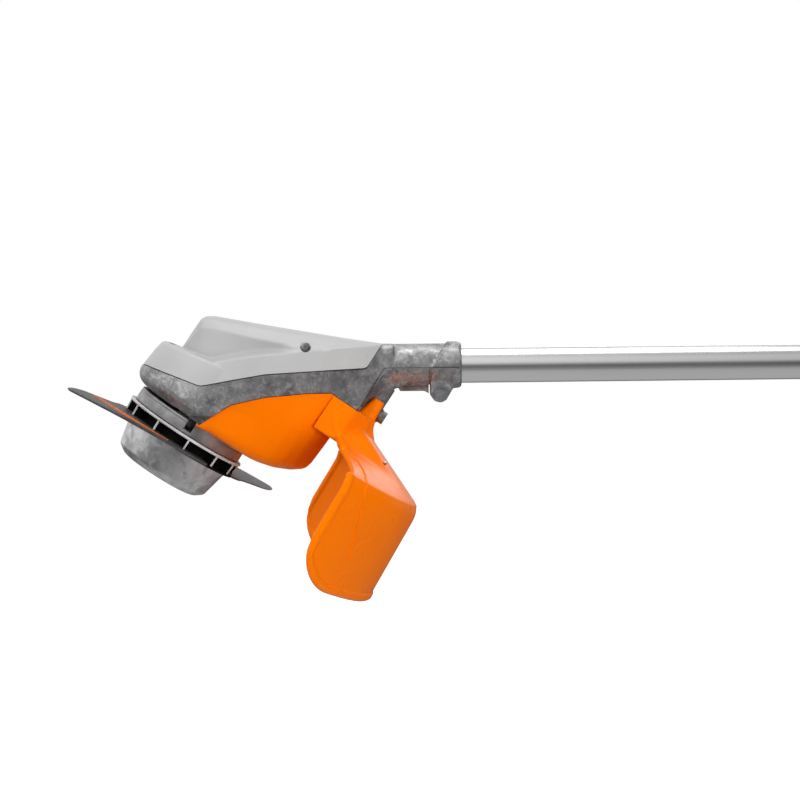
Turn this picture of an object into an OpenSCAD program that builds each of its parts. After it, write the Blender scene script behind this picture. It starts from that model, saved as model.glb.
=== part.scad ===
// Battery grass trimmer with a two-wing cutter.
// The drawing frame has x = 0 at the rear face of the shaft clamp, z = 0 on the
// shaft axis, the cutting head at negative x and the control handle at positive x.
// place() moves everything so that the carrying eye is the origin.

/* [Shaft] */
// Outer diameter of the aluminium drive tube
tube_d = 26; // [25.5:0.1:26.2]
// Wall thickness of the tube
tube_wall = 1.5; // [1:0.1:2]
// Free length of tube between the clamp and the control handle
tube_free = 940; // [900:10:1100]

/* [Cutting head] */
// Angle between the shaft and the cutting plane
tilt = 33.6; // [33:0.1:34]
// Diameter of the circle that the cutter sweeps
cut_d = 260; // [240:2:270]
// Outer diameter of the thrust drum
drum_d = 85; // [80:1:88]
// Outer diameter of the cutter's ribbed ring
ring_d = 91; // [90:1:93]
// Largest diameter of the rider plate
rider_d = 78; // [72:1:84]

/* [Gears] */
// Tooth module
gear_m = 1.25; // [1.25:0.01:1.25]
// Teeth on the motor pinion
pinion_teeth = 18; // [18:2:18]
// Teeth on the spindle gear
gear_teeth = 66; // [66:2:66]

/* [Guard] */
// Radius of the guard's skirt about the spindle
guard_r = 172; // [168:1:176]
// Wall thickness of the guard
guard_t = 2.8; // [2.4:0.1:3.2]

/* [Loop handle] */
// Distance from the shaft clamp to the loop handle
loop_x = 700; // [600:10:760]
// Outside width of the loop at its tube's centre line
loop_w = 150; // [130:2:170]
// Height of the loop at its tube's centre line
loop_h = 118; // [110:2:130]

/* [Carrying eye] */
// Distance from the shaft clamp to the carrying eye
eye_x = 840; // [820:5:860]
// Height of the eye above the shaft axis
eye_z = 31; // [30:0.5:34]
// Diameter of the hole that takes the harness hook
eye_hole_d = 14; // [12:0.5:15]

/* [Hidden] */

fine = 96;
gap = 0.3;      // clearance between pieces that only lie against each other
run = 0.05;     // radial running clearance of a shaft in its bore
tube_r = tube_d / 2;
neck_r = tube_r + 2.3;
tool_x = -196.3;
tool_z = -44.3;

// Heights along the spindle, from the top face of the cutter's ring
base_bottom = -11.5;
base_top = -9.7;
drum_top = 8.5;
head_floor = 11;
gear_low = 26;
gear_high = 34;
bridge_low = 38;

motor_u = gear_m * (pinion_teeth + gear_teeth) / 2;
spindle_r = 6;

handle_x = tube_free;
body_x = handle_x + 185;    // where the grip meets the battery housing
rear_x = handle_x + 330;
tube_end = handle_x + 55;

// ---------- placing and drawing helpers ----------

module place() translate([-eye_x, 0, -eye_z]) children();

// Frame of the cutting tool: x to the rear in the cutting plane, z along the spindle
module tool() translate([tool_x, 0, tool_z]) rotate([0, tilt, 0]) children();

// Extrudes an outline given in x and z to both sides of the middle plane
module side(width) rotate([90, 0, 0]) linear_extrude(width, center = true) children();

// Tube or cylinder along x between two stations
module along_x(x0, x1, r) translate([x0, 0, 0]) rotate([0, 90, 0])
    cylinder(r = r, h = x1 - x0, $fn = fine);

// Cylinder along y, centred on the middle plane unless y0 is given
module along_y(x, z, r, y0, y1) translate([x, y0, z]) rotate([-90, 0, 0])
    cylinder(r = r, h = y1 - y0, $fn = fine);

module ring(r_out, r_in, z0, z1) translate([0, 0, z0]) difference() {
    cylinder(r = r_out, h = z1 - z0, $fn = fine);
    translate([0, 0, -1]) cylinder(r = r_in, h = z1 - z0 + 2, $fn = fine);
}

module rod(r, z0, z1) translate([0, 0, z0]) cylinder(r = r, h = z1 - z0, $fn = fine);

// Block given by its two corners
module block(a, b) translate(a) cube(b - a);

// Socket-head screw along z, head on top, head's underside at z = 0
module cap_screw(d, length) difference() {
    union() {
        translate([0, 0, -length]) cylinder(d = d, h = length + 0.01, $fn = 24);
        cylinder(d = 1.7 * d, h = d, $fn = 32);
    }
    translate([0, 0, 0.45 * d]) cylinder(d = 0.95 * d, h = d, $fn = 6);
}

function arc(cx, cy, r, a0, a1, n) =
    [for (i = [0:n]) let (a = a0 + (a1 - a0) * i / n) [cx + r * cos(a), cy + r * sin(a)]];

// ---------- head outlines, in x and z ----------

seam_cover = [[-226.5, 3.5], [-204, -5], [-189, -11], [-180, -13.4], [-168, -11.4],
    [-137, -6.4], [-95, -4], [-69, -2.4], [-65, 0.7], [-56.3, 15.2]];
roof = [[-56.3, 15.2], [-83.6, 19.9], [-139.9, 29.8], [-175.8, 36.4], [-182.2, 36.2],
    [-197.8, 16.3], [-209.6, 19.3], [-214.3, 17.7], [-226.5, 3.5]];
seam_motor = [[-181.5, -40.5], [-163.6, -28.8], [-155.1, -24.6], [-137, -22],
    [-107.3, -19.5], [-92, -19.6]];
nose = [[-224, -12.2], [-227, -9.4], [-229, -5], [-229, -2]];
belly = [[-80, -28], [-94, -50], [-108.1, -70.5], [-112.2, -71.8], [-122, -72.3],
    [-132.9, -70.5], [-143.7, -67.1], [-152.7, -61]];
v_tip = [-74, -31.7];
split_z = -2;

function part_of(list, from, to) = [for (i = [from:to]) list[i]];
function reverse(list) = [for (i = [len(list) - 1:-1:0]) list[i]];

cover_outline = concat(seam_cover, part_of(roof, 1, len(roof) - 2));
casting_outline = concat(seam_cover, [[-52.5, split_z], [-55.5, split_z], v_tip],
    reverse(seam_motor), nose);
motor_outline = concat(seam_motor, belly);

// Half width of the head in plan: a round nose that narrows to the neck
plan_nose_x = -179;
plan_nose_r = 50;
plan_neck_x = -55;
plan_neck_w = 17;
function plan_w(x, inset) = x < plan_nose_x
    ? sqrt(max(0, pow(plan_nose_r - inset, 2) - pow(x - plan_nose_x, 2)))
    : plan_neck_w - inset + (plan_nose_r - plan_neck_w)
        * (1 - pow((x - plan_nose_x) / (plan_neck_x - plan_nose_x), 2));
function plan_outline(inset, steps = 16) =
    let (front = [for (a = [0:90 / steps:90]) [plan_nose_x - (plan_nose_r - inset) * cos(a),
             (plan_nose_r - inset) * sin(a)]],
         back = [for (i = [1:steps]) let (x = plan_nose_x + (plan_neck_x - plan_nose_x)
             * i / steps) [x, plan_w(x, inset)]],
         half = concat(front, back))
    concat(half, [for (p = reverse(half)) if (p[1] > 0.01) [p[0], -p[1]]]);

module plan(inset) translate([0, 0, -120]) linear_extrude(240) polygon(plan_outline(inset));

module head_slice(outline, inset = 0) intersection() {
    side(120) polygon(outline);
    plan(inset);
}

// ---------- head shells ----------

cover_screw = [-109.3, 12.6];
barrel_r = 36.5;

// Plan of the belly in the tool frame: round about the spindle and about the motor
module barrel_plan(grow) translate([0, 0, -20]) linear_extrude(160) polygon(concat(
    arc(0, 0, 49 + grow, 76, 284, 24), arc(motor_u, 0, barrel_r + grow, -76, 76, 24)));

module housing_casting() color("dimgray") difference() {
    union() {
        head_slice(casting_outline);
        difference() {
            union() {
                along_x(-75, -0.5, neck_r);
                intersection() {
                    along_x(-23, -0.5, neck_r + 1.3);
                    side(60) polygon([[-21.5, -3], [-11.5, 14.4], [-10, 20], [0, 20], [0, -3]]);
                }
            }
            block([-80, -30, -30], [5, 30, split_z + gap / 2]);
            side(60) polygon([[-95, -3.8], [-69.1, -2.2], [-65.2, 0.8], [-56.2, 15.8],
                [-56.2, 30], [-95, 30]]);
        }
        // posts for the two cover screws
        for (s = [-1, 1]) {
            along_y(cover_screw[0], cover_screw[1], 4, s > 0 ? 26 : -34.9, s > 0 ? 34.9 : -26);
            block([cover_screw[0] - 4, s > 0 ? 32.8 : -34.9, -14],
                [cover_screw[0] + 4, s > 0 ? 34.9 : -32.8, cover_screw[1]]);
        }
        tool() rod(17, head_floor, 24);
    }
    // gear chamber, pinion chamber and motor chamber
    tool() rod(44.5, 24, 60);
    tool() translate([motor_u, 0, 0]) rod(33, bridge_low, 87);
    tool() translate([motor_u, 0, 0]) rod(24, bridge_low, 99);
    tool() translate([motor_u, 0, 0]) rod(16, 20, bridge_low + 1);
    // bearing seat, then the seal's seat
    tool() rod(14, 14, 26);
    tool() rod(9, 5, 15);
    // seat of the shaft tube and the way through for the motor cable
    along_x(-62, 10, tube_r);
    along_x(-90, -61, 6);
    for (s = [-1, 1]) along_y(cover_screw[0], cover_screw[1], 2, s > 0 ? 25 : -60,
        s > 0 ? 60 : -25);
}

module top_cover() color("gainsboro") difference() {
    translate([0, 0, gap]) head_slice(cover_outline);
    difference() {
        translate([0, 0, -2.5]) head_slice(cover_outline, 2.8);
        for (s = [-1, 1]) along_y(cover_screw[0], cover_screw[1], 5, s > 0 ? 35.2 : -60,
            s > 0 ? 60 : -35.2);
    }
    for (s = [-1, 1]) {
        along_y(cover_screw[0], cover_screw[1], 3.6, s > 0 ? 37.2 : -60, s > 0 ? 60 : -37.2);
        along_y(cover_screw[0], cover_screw[1], 2.2, s > 0 ? 25 : -60, s > 0 ? 60 : -25);
    }
}

module motor_cover() color("darkorange") difference() {
    intersection() {
        translate([0, 0, -gap]) head_slice(motor_outline);
        tool() barrel_plan(0);
    }
    intersection() {
        translate([-1.6, 0, 2.9]) head_slice(motor_outline, 2.8);
        tool() barrel_plan(-2.8);
    }
    tool() rod(44.5, 15, 60);
    tool() rod(18, 5, 16);
    tool() translate([motor_u, 0, 0]) rod(33.5, 15, 120);
}

lug_x = -15.4;
lug_z = -20.3;
lug_r = 6;
lug_y = 12;
boss_u = 101;

module neck_lower_half() color("dimgray") difference() {
    union() {
        difference() {
            union() {
                along_x(-60, -24.2, neck_r);
                along_x(-22.6, -0.5, neck_r + 1.3);
                along_x(-30, -5, tube_r + 1);
            }
            block([-80, -30, split_z - gap / 2], [5, 30, 30]);
        }
        // lugs on both sides of the clamping slit
        for (s = [-1, 1]) {
            along_y(lug_x, lug_z, lug_r, s > 0 ? 1 : -lug_y, s > 0 ? lug_y : -1);
            block([-21.4, s > 0 ? 1 : -lug_y, lug_z], [-4.5, s > 0 ? lug_y : -1, -10]);
        }
        // wedge that fills the corner behind the housing, the guard's boss and a rib
        side(30) polygon([[-73, -31.7], [-55.1, -3.2], [-44, -3.2], [-44, -12]]);
        tool() translate([boss_u, 0, 0]) rod(6.2, 76, 104);
        side(12) polygon([[-47, -14], [-24.5, -14], [-24.5, -17.6], [-44, -17.6]]);
    }
    along_x(-62, 10, tube_r);
    // clamping slit, screw holes
    block([-24, -1, -40], [5, 1, -5]);
    along_y(lug_x, lug_z, 2.7, -20, 20);
    tool() translate([boss_u - 12, 0, 83]) rotate([0, 90, 0]) cylinder(r = 2.5, h = 40, $fn = 32);
    for (s = [-1, 1]) translate([-35, 0, 0]) rotate([42 * s, 0, 0]) translate([0, 0, -24])
        cylinder(r = 2 + run, h = 24, $fn = 32);
    // face that lies against the housing
    side(80) polygon([[-73.5, -31.2], [-55.1, -2.2], [-55.1, 10], [-100, 10], [-100, -31.2]]);
}

module cover_screws() color("silver") for (s = [-1, 1])
    translate([cover_screw[0], 0, cover_screw[1]]) rotate([-90 * s, 0, 0]) difference() {
        union() {
            rod(1.95, 27, 37.3);
            rod(3.3, 37.3, 39.4);
        }
        translate([0, 0, 38.2]) cylinder(r = 1.7, h = 2, $fn = 6);
    }

module clamp_screw() color("silver")
    translate([lug_x, lug_y + gap, lug_z]) rotate([-90, 0, 0]) cap_screw(5, 29);

module clamp_nut() color("silver") translate([lug_x, -lug_y - gap, lug_z])
    rotate([90, 0, 0]) difference() {
        cylinder(d = 9.2, h = 3.8, $fn = 6);
        translate([0, 0, -1]) cylinder(r = 2.5 + run, h = 6, $fn = 32);
    }

// Two headless screws, flush with the neck, that press on the shaft tube
module neck_screws() color("silver") for (s = [-1, 1]) translate([-35, 0, 0])
    rotate([42 * s, 0, 0]) difference() {
        translate([0, 0, -15.2]) cylinder(r = 2, h = 2.1, $fn = 32);
        translate([0, 0, -16]) cylinder(r = 1.1, h = 1.8, $fn = 6);
    }

// ---------- motor ----------

stator_low = 48;
stator_high = 76;
motor_bearing_r = 11;

module motor_stator() color("slategray") tool() translate([motor_u, 0, 0]) difference() {
    rod(31, stator_low, stator_high);
    rod(16, stator_low - 1, stator_high + 1);
    for (a = [0:30:330]) rotate(a + 15) block([20, -2.5, stator_low - 1],
        [27.5, 2.5, stator_high + 1]);
}

module stator_windings() color("chocolate") tool() translate([motor_u, 0, 0])
    for (a = [0:30:330]) rotate(a + 15) {
        block([20.2, -2.3, stator_low], [27.3, 2.3, stator_high]);
        block([19, -4.4, stator_high + 0.1], [28, 4.4, stator_high + 5]);
        block([19, -4.4, stator_low - 5], [28, 4.4, stator_low - 0.1]);
    }

module bearing(r_out, r_in, z0, z1, balls) {
    third = (r_out - r_in) / 3;
    ring(r_out, r_out - third, z0, z1);
    ring(r_in + third, r_in + run, z0, z1);
    for (i = [0:balls - 1]) rotate(360 * i / balls) translate([(r_out + r_in) / 2, 0,
        (z0 + z1) / 2]) sphere(r = third / 2 - 0.02, $fn = 32);
}

module motor_end_cap() color("lightgray") tool() translate([motor_u, 0, 0]) difference() {
    union() {
        rod(32, 83, 86);
        rod(14, 83, 91);
        ring(32.5, 31.2, stator_low, 84);
    }
    rod(motor_bearing_r, 84, 95);
    rod(6, 80, 90);
}

module motor_bearings() color("silver") tool() translate([motor_u, 0, 0]) {
    bearing(motor_bearing_r, 4, 84, 91, 8);
    bearing(motor_bearing_r, 4, bridge_low, bridge_low + 7, 8);
}

module bridge_plate() color("lightsteelblue") tool() difference() {
    union() {
        rod(20, bridge_low, bridge_low + 4);
        rod(16.5, bridge_low, bridge_low + 8);
        translate([motor_u, 0, 0]) {
            rod(30, bridge_low, bridge_low + 4);
            rod(14, bridge_low, bridge_low + 7);
        }
        block([0, -18, bridge_low], [motor_u, 18, bridge_low + 4]);
    }
    rod(13, bridge_low - 1, bridge_low + 9);
    translate([motor_u, 0, 0]) rod(motor_bearing_r, bridge_low - 1, bridge_low + 9);
    for (a = [-50, 50, 130, -130]) translate([motor_u + 24 * cos(a), 24 * sin(a), 0])
        rod(1.8, bridge_low - 1, bridge_low + 6);
}

module bridge_screws() color("silver") tool()
    for (a = [-50, 50]) translate([motor_u + 24 * cos(a), 24 * sin(a), bridge_low + 4.05])
        cylinder(d = 5.5, h = 0.8, $fn = 32);

module motor_rotor() color("darkslategray") tool() translate([motor_u, 0, 0]) {
    rod(4, 24, 100);
    difference() {
        rod(15.2, stator_low - 1, stator_high + 1);
        rod(4 + run, stator_low - 2, stator_high + 2);
    }
}

// Involute of a circle as the angle gained at radius r
function involute(r, r_base) = let (a = acos(min(1, r_base / r))) tan(a) * 180 / PI - a;

// Outline of a gear, tooth centred on the x axis
function gear_outline(teeth, m, slack) =
    let (r = m * teeth / 2, r_base = r * cos(20), tip = r + 0.9 * m, root = r - 1.2 * m,
         low = max(root, r_base + 0.01),
         half = 90 / teeth - slack / r * 180 / PI + involute(r, r_base),
         radii = [low, low + (tip - low) * 0.3, low + (tip - low) * 0.65, tip],
         flank = [for (q = radii) [q, half - involute(q, r_base)]],
         tooth = concat([[root, flank[0][1]]], flank))
    [for (i = [0:teeth - 1]) each concat(
        [for (p = tooth) p[0] * [cos(360 * i / teeth - p[1]), sin(360 * i / teeth - p[1])]],
        [for (p = reverse(tooth)) p[0] * [cos(360 * i / teeth + p[1]),
            sin(360 * i / teeth + p[1])]])];

gear_slack = 0.06;

module motor_pinion() color("goldenrod") tool() translate([motor_u, 0, gear_low - 1])
    difference() {
        rotate(180 / pinion_teeth) linear_extrude(gear_high - gear_low + 2)
            polygon(gear_outline(pinion_teeth, gear_m, gear_slack));
        translate([0, 0, -1]) cylinder(r = 4 + run, h = 20, $fn = fine);
    }

module cooling_fan() color("black") tool() translate([motor_u, 0, 0]) {
    ring(7, 4 + run, 92.5, 98);
    ring(22, 7, 92.5, 93.7);
    for (a = [0:45:315]) rotate(a) block([6.8, -0.6, 93.7], [21, 0.6, 98]);
}

// ---------- spindle and cutting tool ----------

module spindle() color("silver") tool() {
    rod(spindle_r, -30, bridge_low - 1);
    rod(5, bridge_low - 1, bridge_low + 9);
    // shoulder that carries the gear
    rod(9, 22.3, gear_low - gap);
}

module spindle_gear() color("goldenrod") tool() difference() {
    translate([0, 0, gear_low]) linear_extrude(gear_high - gear_low)
        polygon(gear_outline(gear_teeth, gear_m, gear_slack));
    rod(spindle_r + run, gear_low - 1, gear_high + 1);
    for (a = [0:60:300]) rotate(a) translate([25, 0, 0]) rod(8, gear_low - 1, gear_high + 1);
}

module spindle_bearings() color("silver") tool() {
    bearing(14, spindle_r, 14, 22, 8);
    bearing(13, 5, bridge_low, bridge_low + 8, 8);
}

module spindle_seal() color("black") tool() ring(9, spindle_r + run, head_floor, 13.8);

notch_angle = -93;

module thrust_drum() color("lightgray") tool() difference() {
    union() {
        rod(drum_d / 2, gap, 2.8);
        ring(drum_d / 2, drum_d / 2 - 3, 2.8, drum_top);
        rod(12, 2.8, drum_top);
    }
    rod(spindle_r + run, -1, 12);
    rotate(notch_angle) block([35, -3, 2.8], [60, 3, 12]);
}

// Wing of the cutter, seen from above: trailing edge, rounded tip, leading edge and root
wing = [[0, 30], [-45, 6], [-50, -4], [-52, -17], [-56, -30], [-61.5, -47], [-66.5, -62],
    [-69.6, -78], [-70.6, -92], [-70, -107], [-67.3, -111], [-58, -102.5], [-45.5, -90],
    [-32, -76.5], [-20.6, -67.4], [-6, -58], [10, -48], [28, -36], [30, -20]];

// The underside is flat and the top rises from the trailing edge to the leading edge
module cutter_wing() intersection() {
    translate([0, 0, base_bottom]) linear_extrude(6) polygon(wing);
    translate([0, 0, base_bottom + 3.9]) rotate([-1.03, -3.05, 0])
        translate([-200, -200, -30]) cube([400, 400, 30]);
    cylinder(r = cut_d / 2, h = 60, center = true, $fn = fine);
}

rib_angles = [-53, -21, 12, 44, 72, 100];

module cutter() color("black") tool() difference() {
    union() {
        rod(ring_d / 2, base_bottom, base_top);
        rod(ring_d / 2, -1.8, 0);
        rod(34, base_top, -1.8);
        for (a = rib_angles, half = [-90, 90]) rotate(a + half)
            block([33, -0.9, base_top], [ring_d / 2 - 0.8, 0.9, -1.8]);
        for (turn = [0, 180]) rotate(turn) cutter_wing();
    }
    rod(spindle_r + run, base_bottom - 1, 1);
    difference() {
        rod(32, base_top, -1.8);
        rod(15, base_top - 1, 0);
    }
}

rider_r = rider_d / 2;
rider_floor = -37;
rider_wall = 1.6;
rider_corner = 6;
rider_top = base_bottom - gap;

module rider_plate() color("silver") tool() rotate_extrude($fn = fine) polygon(concat(
    [[spindle_r + run, rider_top], [17, rider_top], [17, rider_floor + rider_wall]],
    arc(rider_r - 10, rider_floor + rider_corner, rider_corner - rider_wall, -90, 0, 6),
    [[rider_r - rider_wall, rider_top], [rider_r, rider_top]],
    arc(rider_r - 10, rider_floor + rider_corner, rider_corner, 0, -90, 6),
    [[17 - rider_wall, rider_floor], [17 - rider_wall, rider_top - rider_wall],
     [spindle_r + run, rider_top - rider_wall]]));

module collar_nut() color("gray") tool() difference() {
    union() {
        rod(13, rider_top - 4, rider_top - rider_wall - gap);
        translate([0, 0, -31]) cylinder(d = 19.6, h = 16, $fn = 6);
    }
    rod(spindle_r + run, -32, -10);
}

// ---------- guard ----------

mount_n = 78.2;         // height of the housing's lower face, which the guard lies against
skirt_top = 46.8;
skirt_low = -30;
shoulder = 12;          // rounding between the skirt and the roof
roof_rise = 0.43;       // slope of the roof toward the spindle
corner_r = 28;          // rounding of the skirt's two lower front corners

module guard_solid(t) intersection() {
    rotate_extrude($fn = 2 * fine) polygon(concat([[60, skirt_low - 2 * t],
        [guard_r - t, skirt_low - 2 * t]],
        arc(guard_r - shoulder, skirt_top - shoulder, shoulder - t, 0, 66, 8),
        [[60, skirt_top - 1.1 * t + roof_rise * (guard_r - shoulder - 60)]]));
    // fan-shaped plan with a front edge that runs almost straight across
    translate([0, 0, -60]) linear_extrude(160) polygon([[75 - 4 * t, 33.5 + 3 * t],
        [94 - 4 * t, 34 + 3 * t], [102 - 4 * t, 56], [109 - 4 * t, 95], [115 - 4 * t, 128],
        [116 - 4 * t, 180], [190, 180], [190, -180], [116 - 4 * t, -180], [115 - 4 * t, -128],
        [109 - 4 * t, -95], [102 - 4 * t, -56], [94 - 4 * t, -34 - 3 * t],
        [75 - 4 * t, -33.5 - 3 * t]]);
    // the roof also falls off to both sides
    rotate([90, 0, 90]) linear_extrude(200) polygon([[-150, -60], [150, -60], [150, 44 - t],
        [60, 51 - t], [33, 56 - t], [16, 72 - t], [-16, 72 - t], [-33, 56 - t], [-60, 51 - t],
        [-150, 44 - t]]);
}

module guard() color("darkorange") difference() {
    tool() union() {
        difference() {
            guard_solid(0);
            guard_solid(guard_t);
            // rounded lower front corners
            rotate([90, 0, 0]) linear_extrude(400, center = true) polygon(concat(
                arc(114 + corner_r, skirt_low + corner_r, corner_r, 180, 270, 8),
                [[90, skirt_low - 10], [90, skirt_low + corner_r]]));
        }
        // saddle that grips the rear of the head, and the wall that takes the screw
        rotate([90, 0, 0]) linear_extrude(67, center = true) polygon([[75, 52.6],
            [94, 54], [104, 60], [108.4, 70], [108.4, mount_n - 6], [100, mount_n - gap],
            [75, mount_n - gap]]);
        rotate([90, 0, 0]) linear_extrude(24, center = true) polygon([[100, 62], [113, 66],
            [108.4, 76], [108.4, 92.3], [101, 92.3], [100, 70]]);
    }
    tool() {
        // room for the motor cover and for the boss of the neck
        translate([motor_u, 0, 0]) rod(barrel_r + 0.5, 20, 110);
        translate([boss_u, 0, 0]) rod(6.2 + gap, 75, 110);
        // hollow underside
        block([80, -30, 30], [104, 30, 60]);
        block([90, -30, 59], [104, 30, mount_n - 6]);
        translate([boss_u, 0, 83]) rotate([0, 90, 0]) cylinder(r = 2.8, h = 40, $fn = 32);
    }
    // room for the neck behind the housing
    side(80) polygon([[-80, -28.4], [-74.3, -32.2], [-54, -8], [-40, 0], [-60, 20]]);
    tool() translate([boss_u - 7.2, -15.4, 77]) cube([7.2, 30.8, 30]);
}

module guard_screw() color("gray") tool() translate([108.4 + gap, 0, 83]) rotate([0, 90, 0])
    difference() {
        union() {
            translate([0, 0, -12]) cylinder(r = 2.4, h = 12.1, $fn = 32);
            cylinder(r = 5.5, h = 1.4, $fn = fine);
            cylinder(d = 9.2, h = 5.2, $fn = 6);
        }
        translate([0, 0, 3]) cylinder(r = 2.2, h = 4, $fn = 6);
    }

// ---------- shaft ----------

module shaft_tube() color("silver") difference() {
    along_x(-62 + gap, tube_end, tube_r - 0.02);
    along_x(-70, tube_end + 10, tube_r - tube_wall);
}

module motor_cable() color("black") along_x(-78, tube_end + 6, 4);

module cable_connector() color("white") block([tube_end + 6.2, -9, -2], [tube_end + 24, 9, 10]);

// ---------- loop handle ----------

clamp_w = 34;
loop_low = 30;          // height of the loop's lower bar over the shaft axis
loop_tube_r = 8.5;
loop_corner = 42;

module loop_bolt_holes() for (sx = [-1, 1], sy = [-1, 1])
    translate([loop_x + 12 * sx, 19.4 * sy, -20]) cylinder(r = 2.7, h = 80, $fn = 32);

module loop_clamp_upper() color("black") difference() {
    union() {
        along_x(loop_x - clamp_w / 2, loop_x + clamp_w / 2, tube_r + 6);
        block([loop_x - clamp_w / 2, -25, 0], [loop_x + clamp_w / 2, 25, loop_low - gap / 2]);
    }
    along_x(loop_x - 30, loop_x + 30, tube_r);
    block([loop_x - 30, -40, -30], [loop_x + 30, 40, gap]);
    along_y(loop_x, loop_low, loop_tube_r + 0.02, -40, 40);
    loop_bolt_holes();
}

module loop_clamp_lower() color("black") difference() {
    union() {
        along_x(loop_x - clamp_w / 2, loop_x + clamp_w / 2, tube_r + 6);
        block([loop_x - clamp_w / 2, -25, -9], [loop_x + clamp_w / 2, 25, 0]);
    }
    along_x(loop_x - 30, loop_x + 30, tube_r);
    block([loop_x - 30, -40, -gap], [loop_x + 30, 40, 30]);
    loop_bolt_holes();
    for (sx = [-1, 1], sy = [-1, 1]) translate([loop_x + 12 * sx, 19.4 * sy, -29])
        cylinder(r = 5, h = 20, $fn = 32);
}

module loop_clamp_cap() color("black") difference() {
    union() {
        block([loop_x - clamp_w / 2, -25, loop_low + gap / 2],
            [loop_x + clamp_w / 2, 25, loop_low + 7]);
        along_y(loop_x, loop_low, loop_tube_r + 4, -25, 25);
    }
    block([loop_x - 30, -40, 0], [loop_x + 30, 40, loop_low + gap / 2]);
    along_y(loop_x, loop_low, loop_tube_r + 0.02, -40, 40);
    loop_bolt_holes();
    for (sx = [-1, 1], sy = [-1, 1]) translate([loop_x + 12 * sx, 19.4 * sy, loop_low + 7])
        cylinder(r = 4.7, h = 20, $fn = 32);
}

module loop_bolts() color("silver") for (sx = [-1, 1], sy = [-1, 1])
    translate([loop_x + 12 * sx, 19.4 * sy, loop_low + 7 + gap]) cap_screw(5, 52);

module loop_nuts() color("silver") for (sx = [-1, 1], sy = [-1, 1])
    translate([loop_x + 12 * sx, 19.4 * sy, -9 - gap - 4]) difference() {
        cylinder(d = 9.2, h = 4, $fn = 6);
        translate([0, 0, -1]) cylinder(r = 2.5 + run, h = 6, $fn = 32);
    }

// Closed round-cornered loop in the plane across the shaft
module loop_path(r, top_only = false) {
    half = loop_w / 2 - loop_corner;
    rise = loop_h - 2 * loop_corner;
    translate([loop_x, 0, loop_low]) rotate([90, 0, 90]) {
        for (s = [0, 1]) mirror([s, 0, 0]) {
            translate([half, loop_h - loop_corner, 0]) rotate_extrude(angle = 90, $fn = fine)
                translate([loop_corner, 0]) circle(r, $fn = 48);
            if (!top_only) {
                translate([half, loop_corner, 0]) rotate([0, 0, -90])
                    rotate_extrude(angle = 90, $fn = fine)
                    translate([loop_corner, 0]) circle(r, $fn = 48);
                translate([loop_w / 2, loop_corner, 0]) rotate([-90, 0, 0])
                    cylinder(r = r, h = rise, $fn = 48);
            }
        }
        translate([-half, loop_h, 0]) rotate([0, 90, 0]) cylinder(r = r, h = 2 * half, $fn = 48);
        if (!top_only) translate([-half, 0, 0]) rotate([0, 90, 0])
            cylinder(r = r, h = 2 * half, $fn = 48);
    }
}

module loop_frame() color("darkslategray") loop_path(loop_tube_r - 0.02);

module loop_grip() color("black") difference() {
    loop_path(12.5, true);
    loop_path(loop_tube_r);
}

// ---------- carrying eye ----------

eye_w = 8;

module eye_clamp() color("silver") difference() {
    union() {
        along_x(eye_x - 8, eye_x + 8, tube_r + 3.5);
        along_y(eye_x, eye_z, eye_hole_d / 2 + 5, -eye_w / 2, eye_w / 2);
        block([eye_x - 8, -eye_w / 2, 12], [eye_x + 8, eye_w / 2, eye_z - 2]);
        block([eye_x - 8, -8, -27], [eye_x + 8, 8, -12]);
    }
    along_x(eye_x - 20, eye_x + 20, tube_r);
    along_y(eye_x, eye_z, eye_hole_d / 2, -20, 20);
    block([eye_x - 20, -1, -40], [eye_x + 20, 1, 0]);
    along_y(eye_x, -21.5, 2.6, -20, 20);
}

module eye_clamp_screw() color("gray") translate([eye_x, 8 + gap, -21.5])
    rotate([-90, 0, 0]) cap_screw(5, 17);

// ---------- control handle ----------

grip_half = 17;
box_half = 41;

handle_outline = [[handle_x + 22, 17.5], [handle_x + 60, 20.5], [handle_x + 150, 22],
    [handle_x + 172, 27], [body_x + 8, 44], [body_x + 24, 52], [body_x + 100, 56],
    [body_x + 132, 52], [rear_x - 4, 46], [rear_x + 3, -58], [rear_x - 8, -66], [body_x + 20, -66],
    [body_x + 4, -58], [body_x - 12, -36], [handle_x + 156, -25], [handle_x + 62, -22],
    [handle_x + 22, -17.5]];

function handle_half(x) = x < body_x - 28 ? grip_half + 1.5
    : x > body_x + 18 ? box_half
    : grip_half + 1.5 + (box_half - grip_half - 1.5) * (0.5 - 0.5 * cos(180 * (x - body_x + 28) / 46));

module handle_plan(inset) {
    half = [for (i = [0:12]) let (x = body_x - 34 + i * 5) [x, handle_half(x) - inset]];
    outline = concat([[handle_x, grip_half + 1.5 - inset]], half,
        [[rear_x - 14, box_half - inset], [rear_x + 5, box_half - 6 - inset]]);
    translate([0, 0, -90]) linear_extrude(180)
        polygon(concat(outline, [for (p = reverse(outline)) [p[0], -p[1]]]));
}

bay_x = body_x + 34;        // front wall of the battery bay
bay_half = 35;
bay_low = -50;
bay_high = 24;

handle_screw_points = [[handle_x + 135, -19.7], [body_x + 16, 42], [body_x + 14, -57],
    [body_x + 75, 40], [rear_x - 22, -58.3]];

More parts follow.
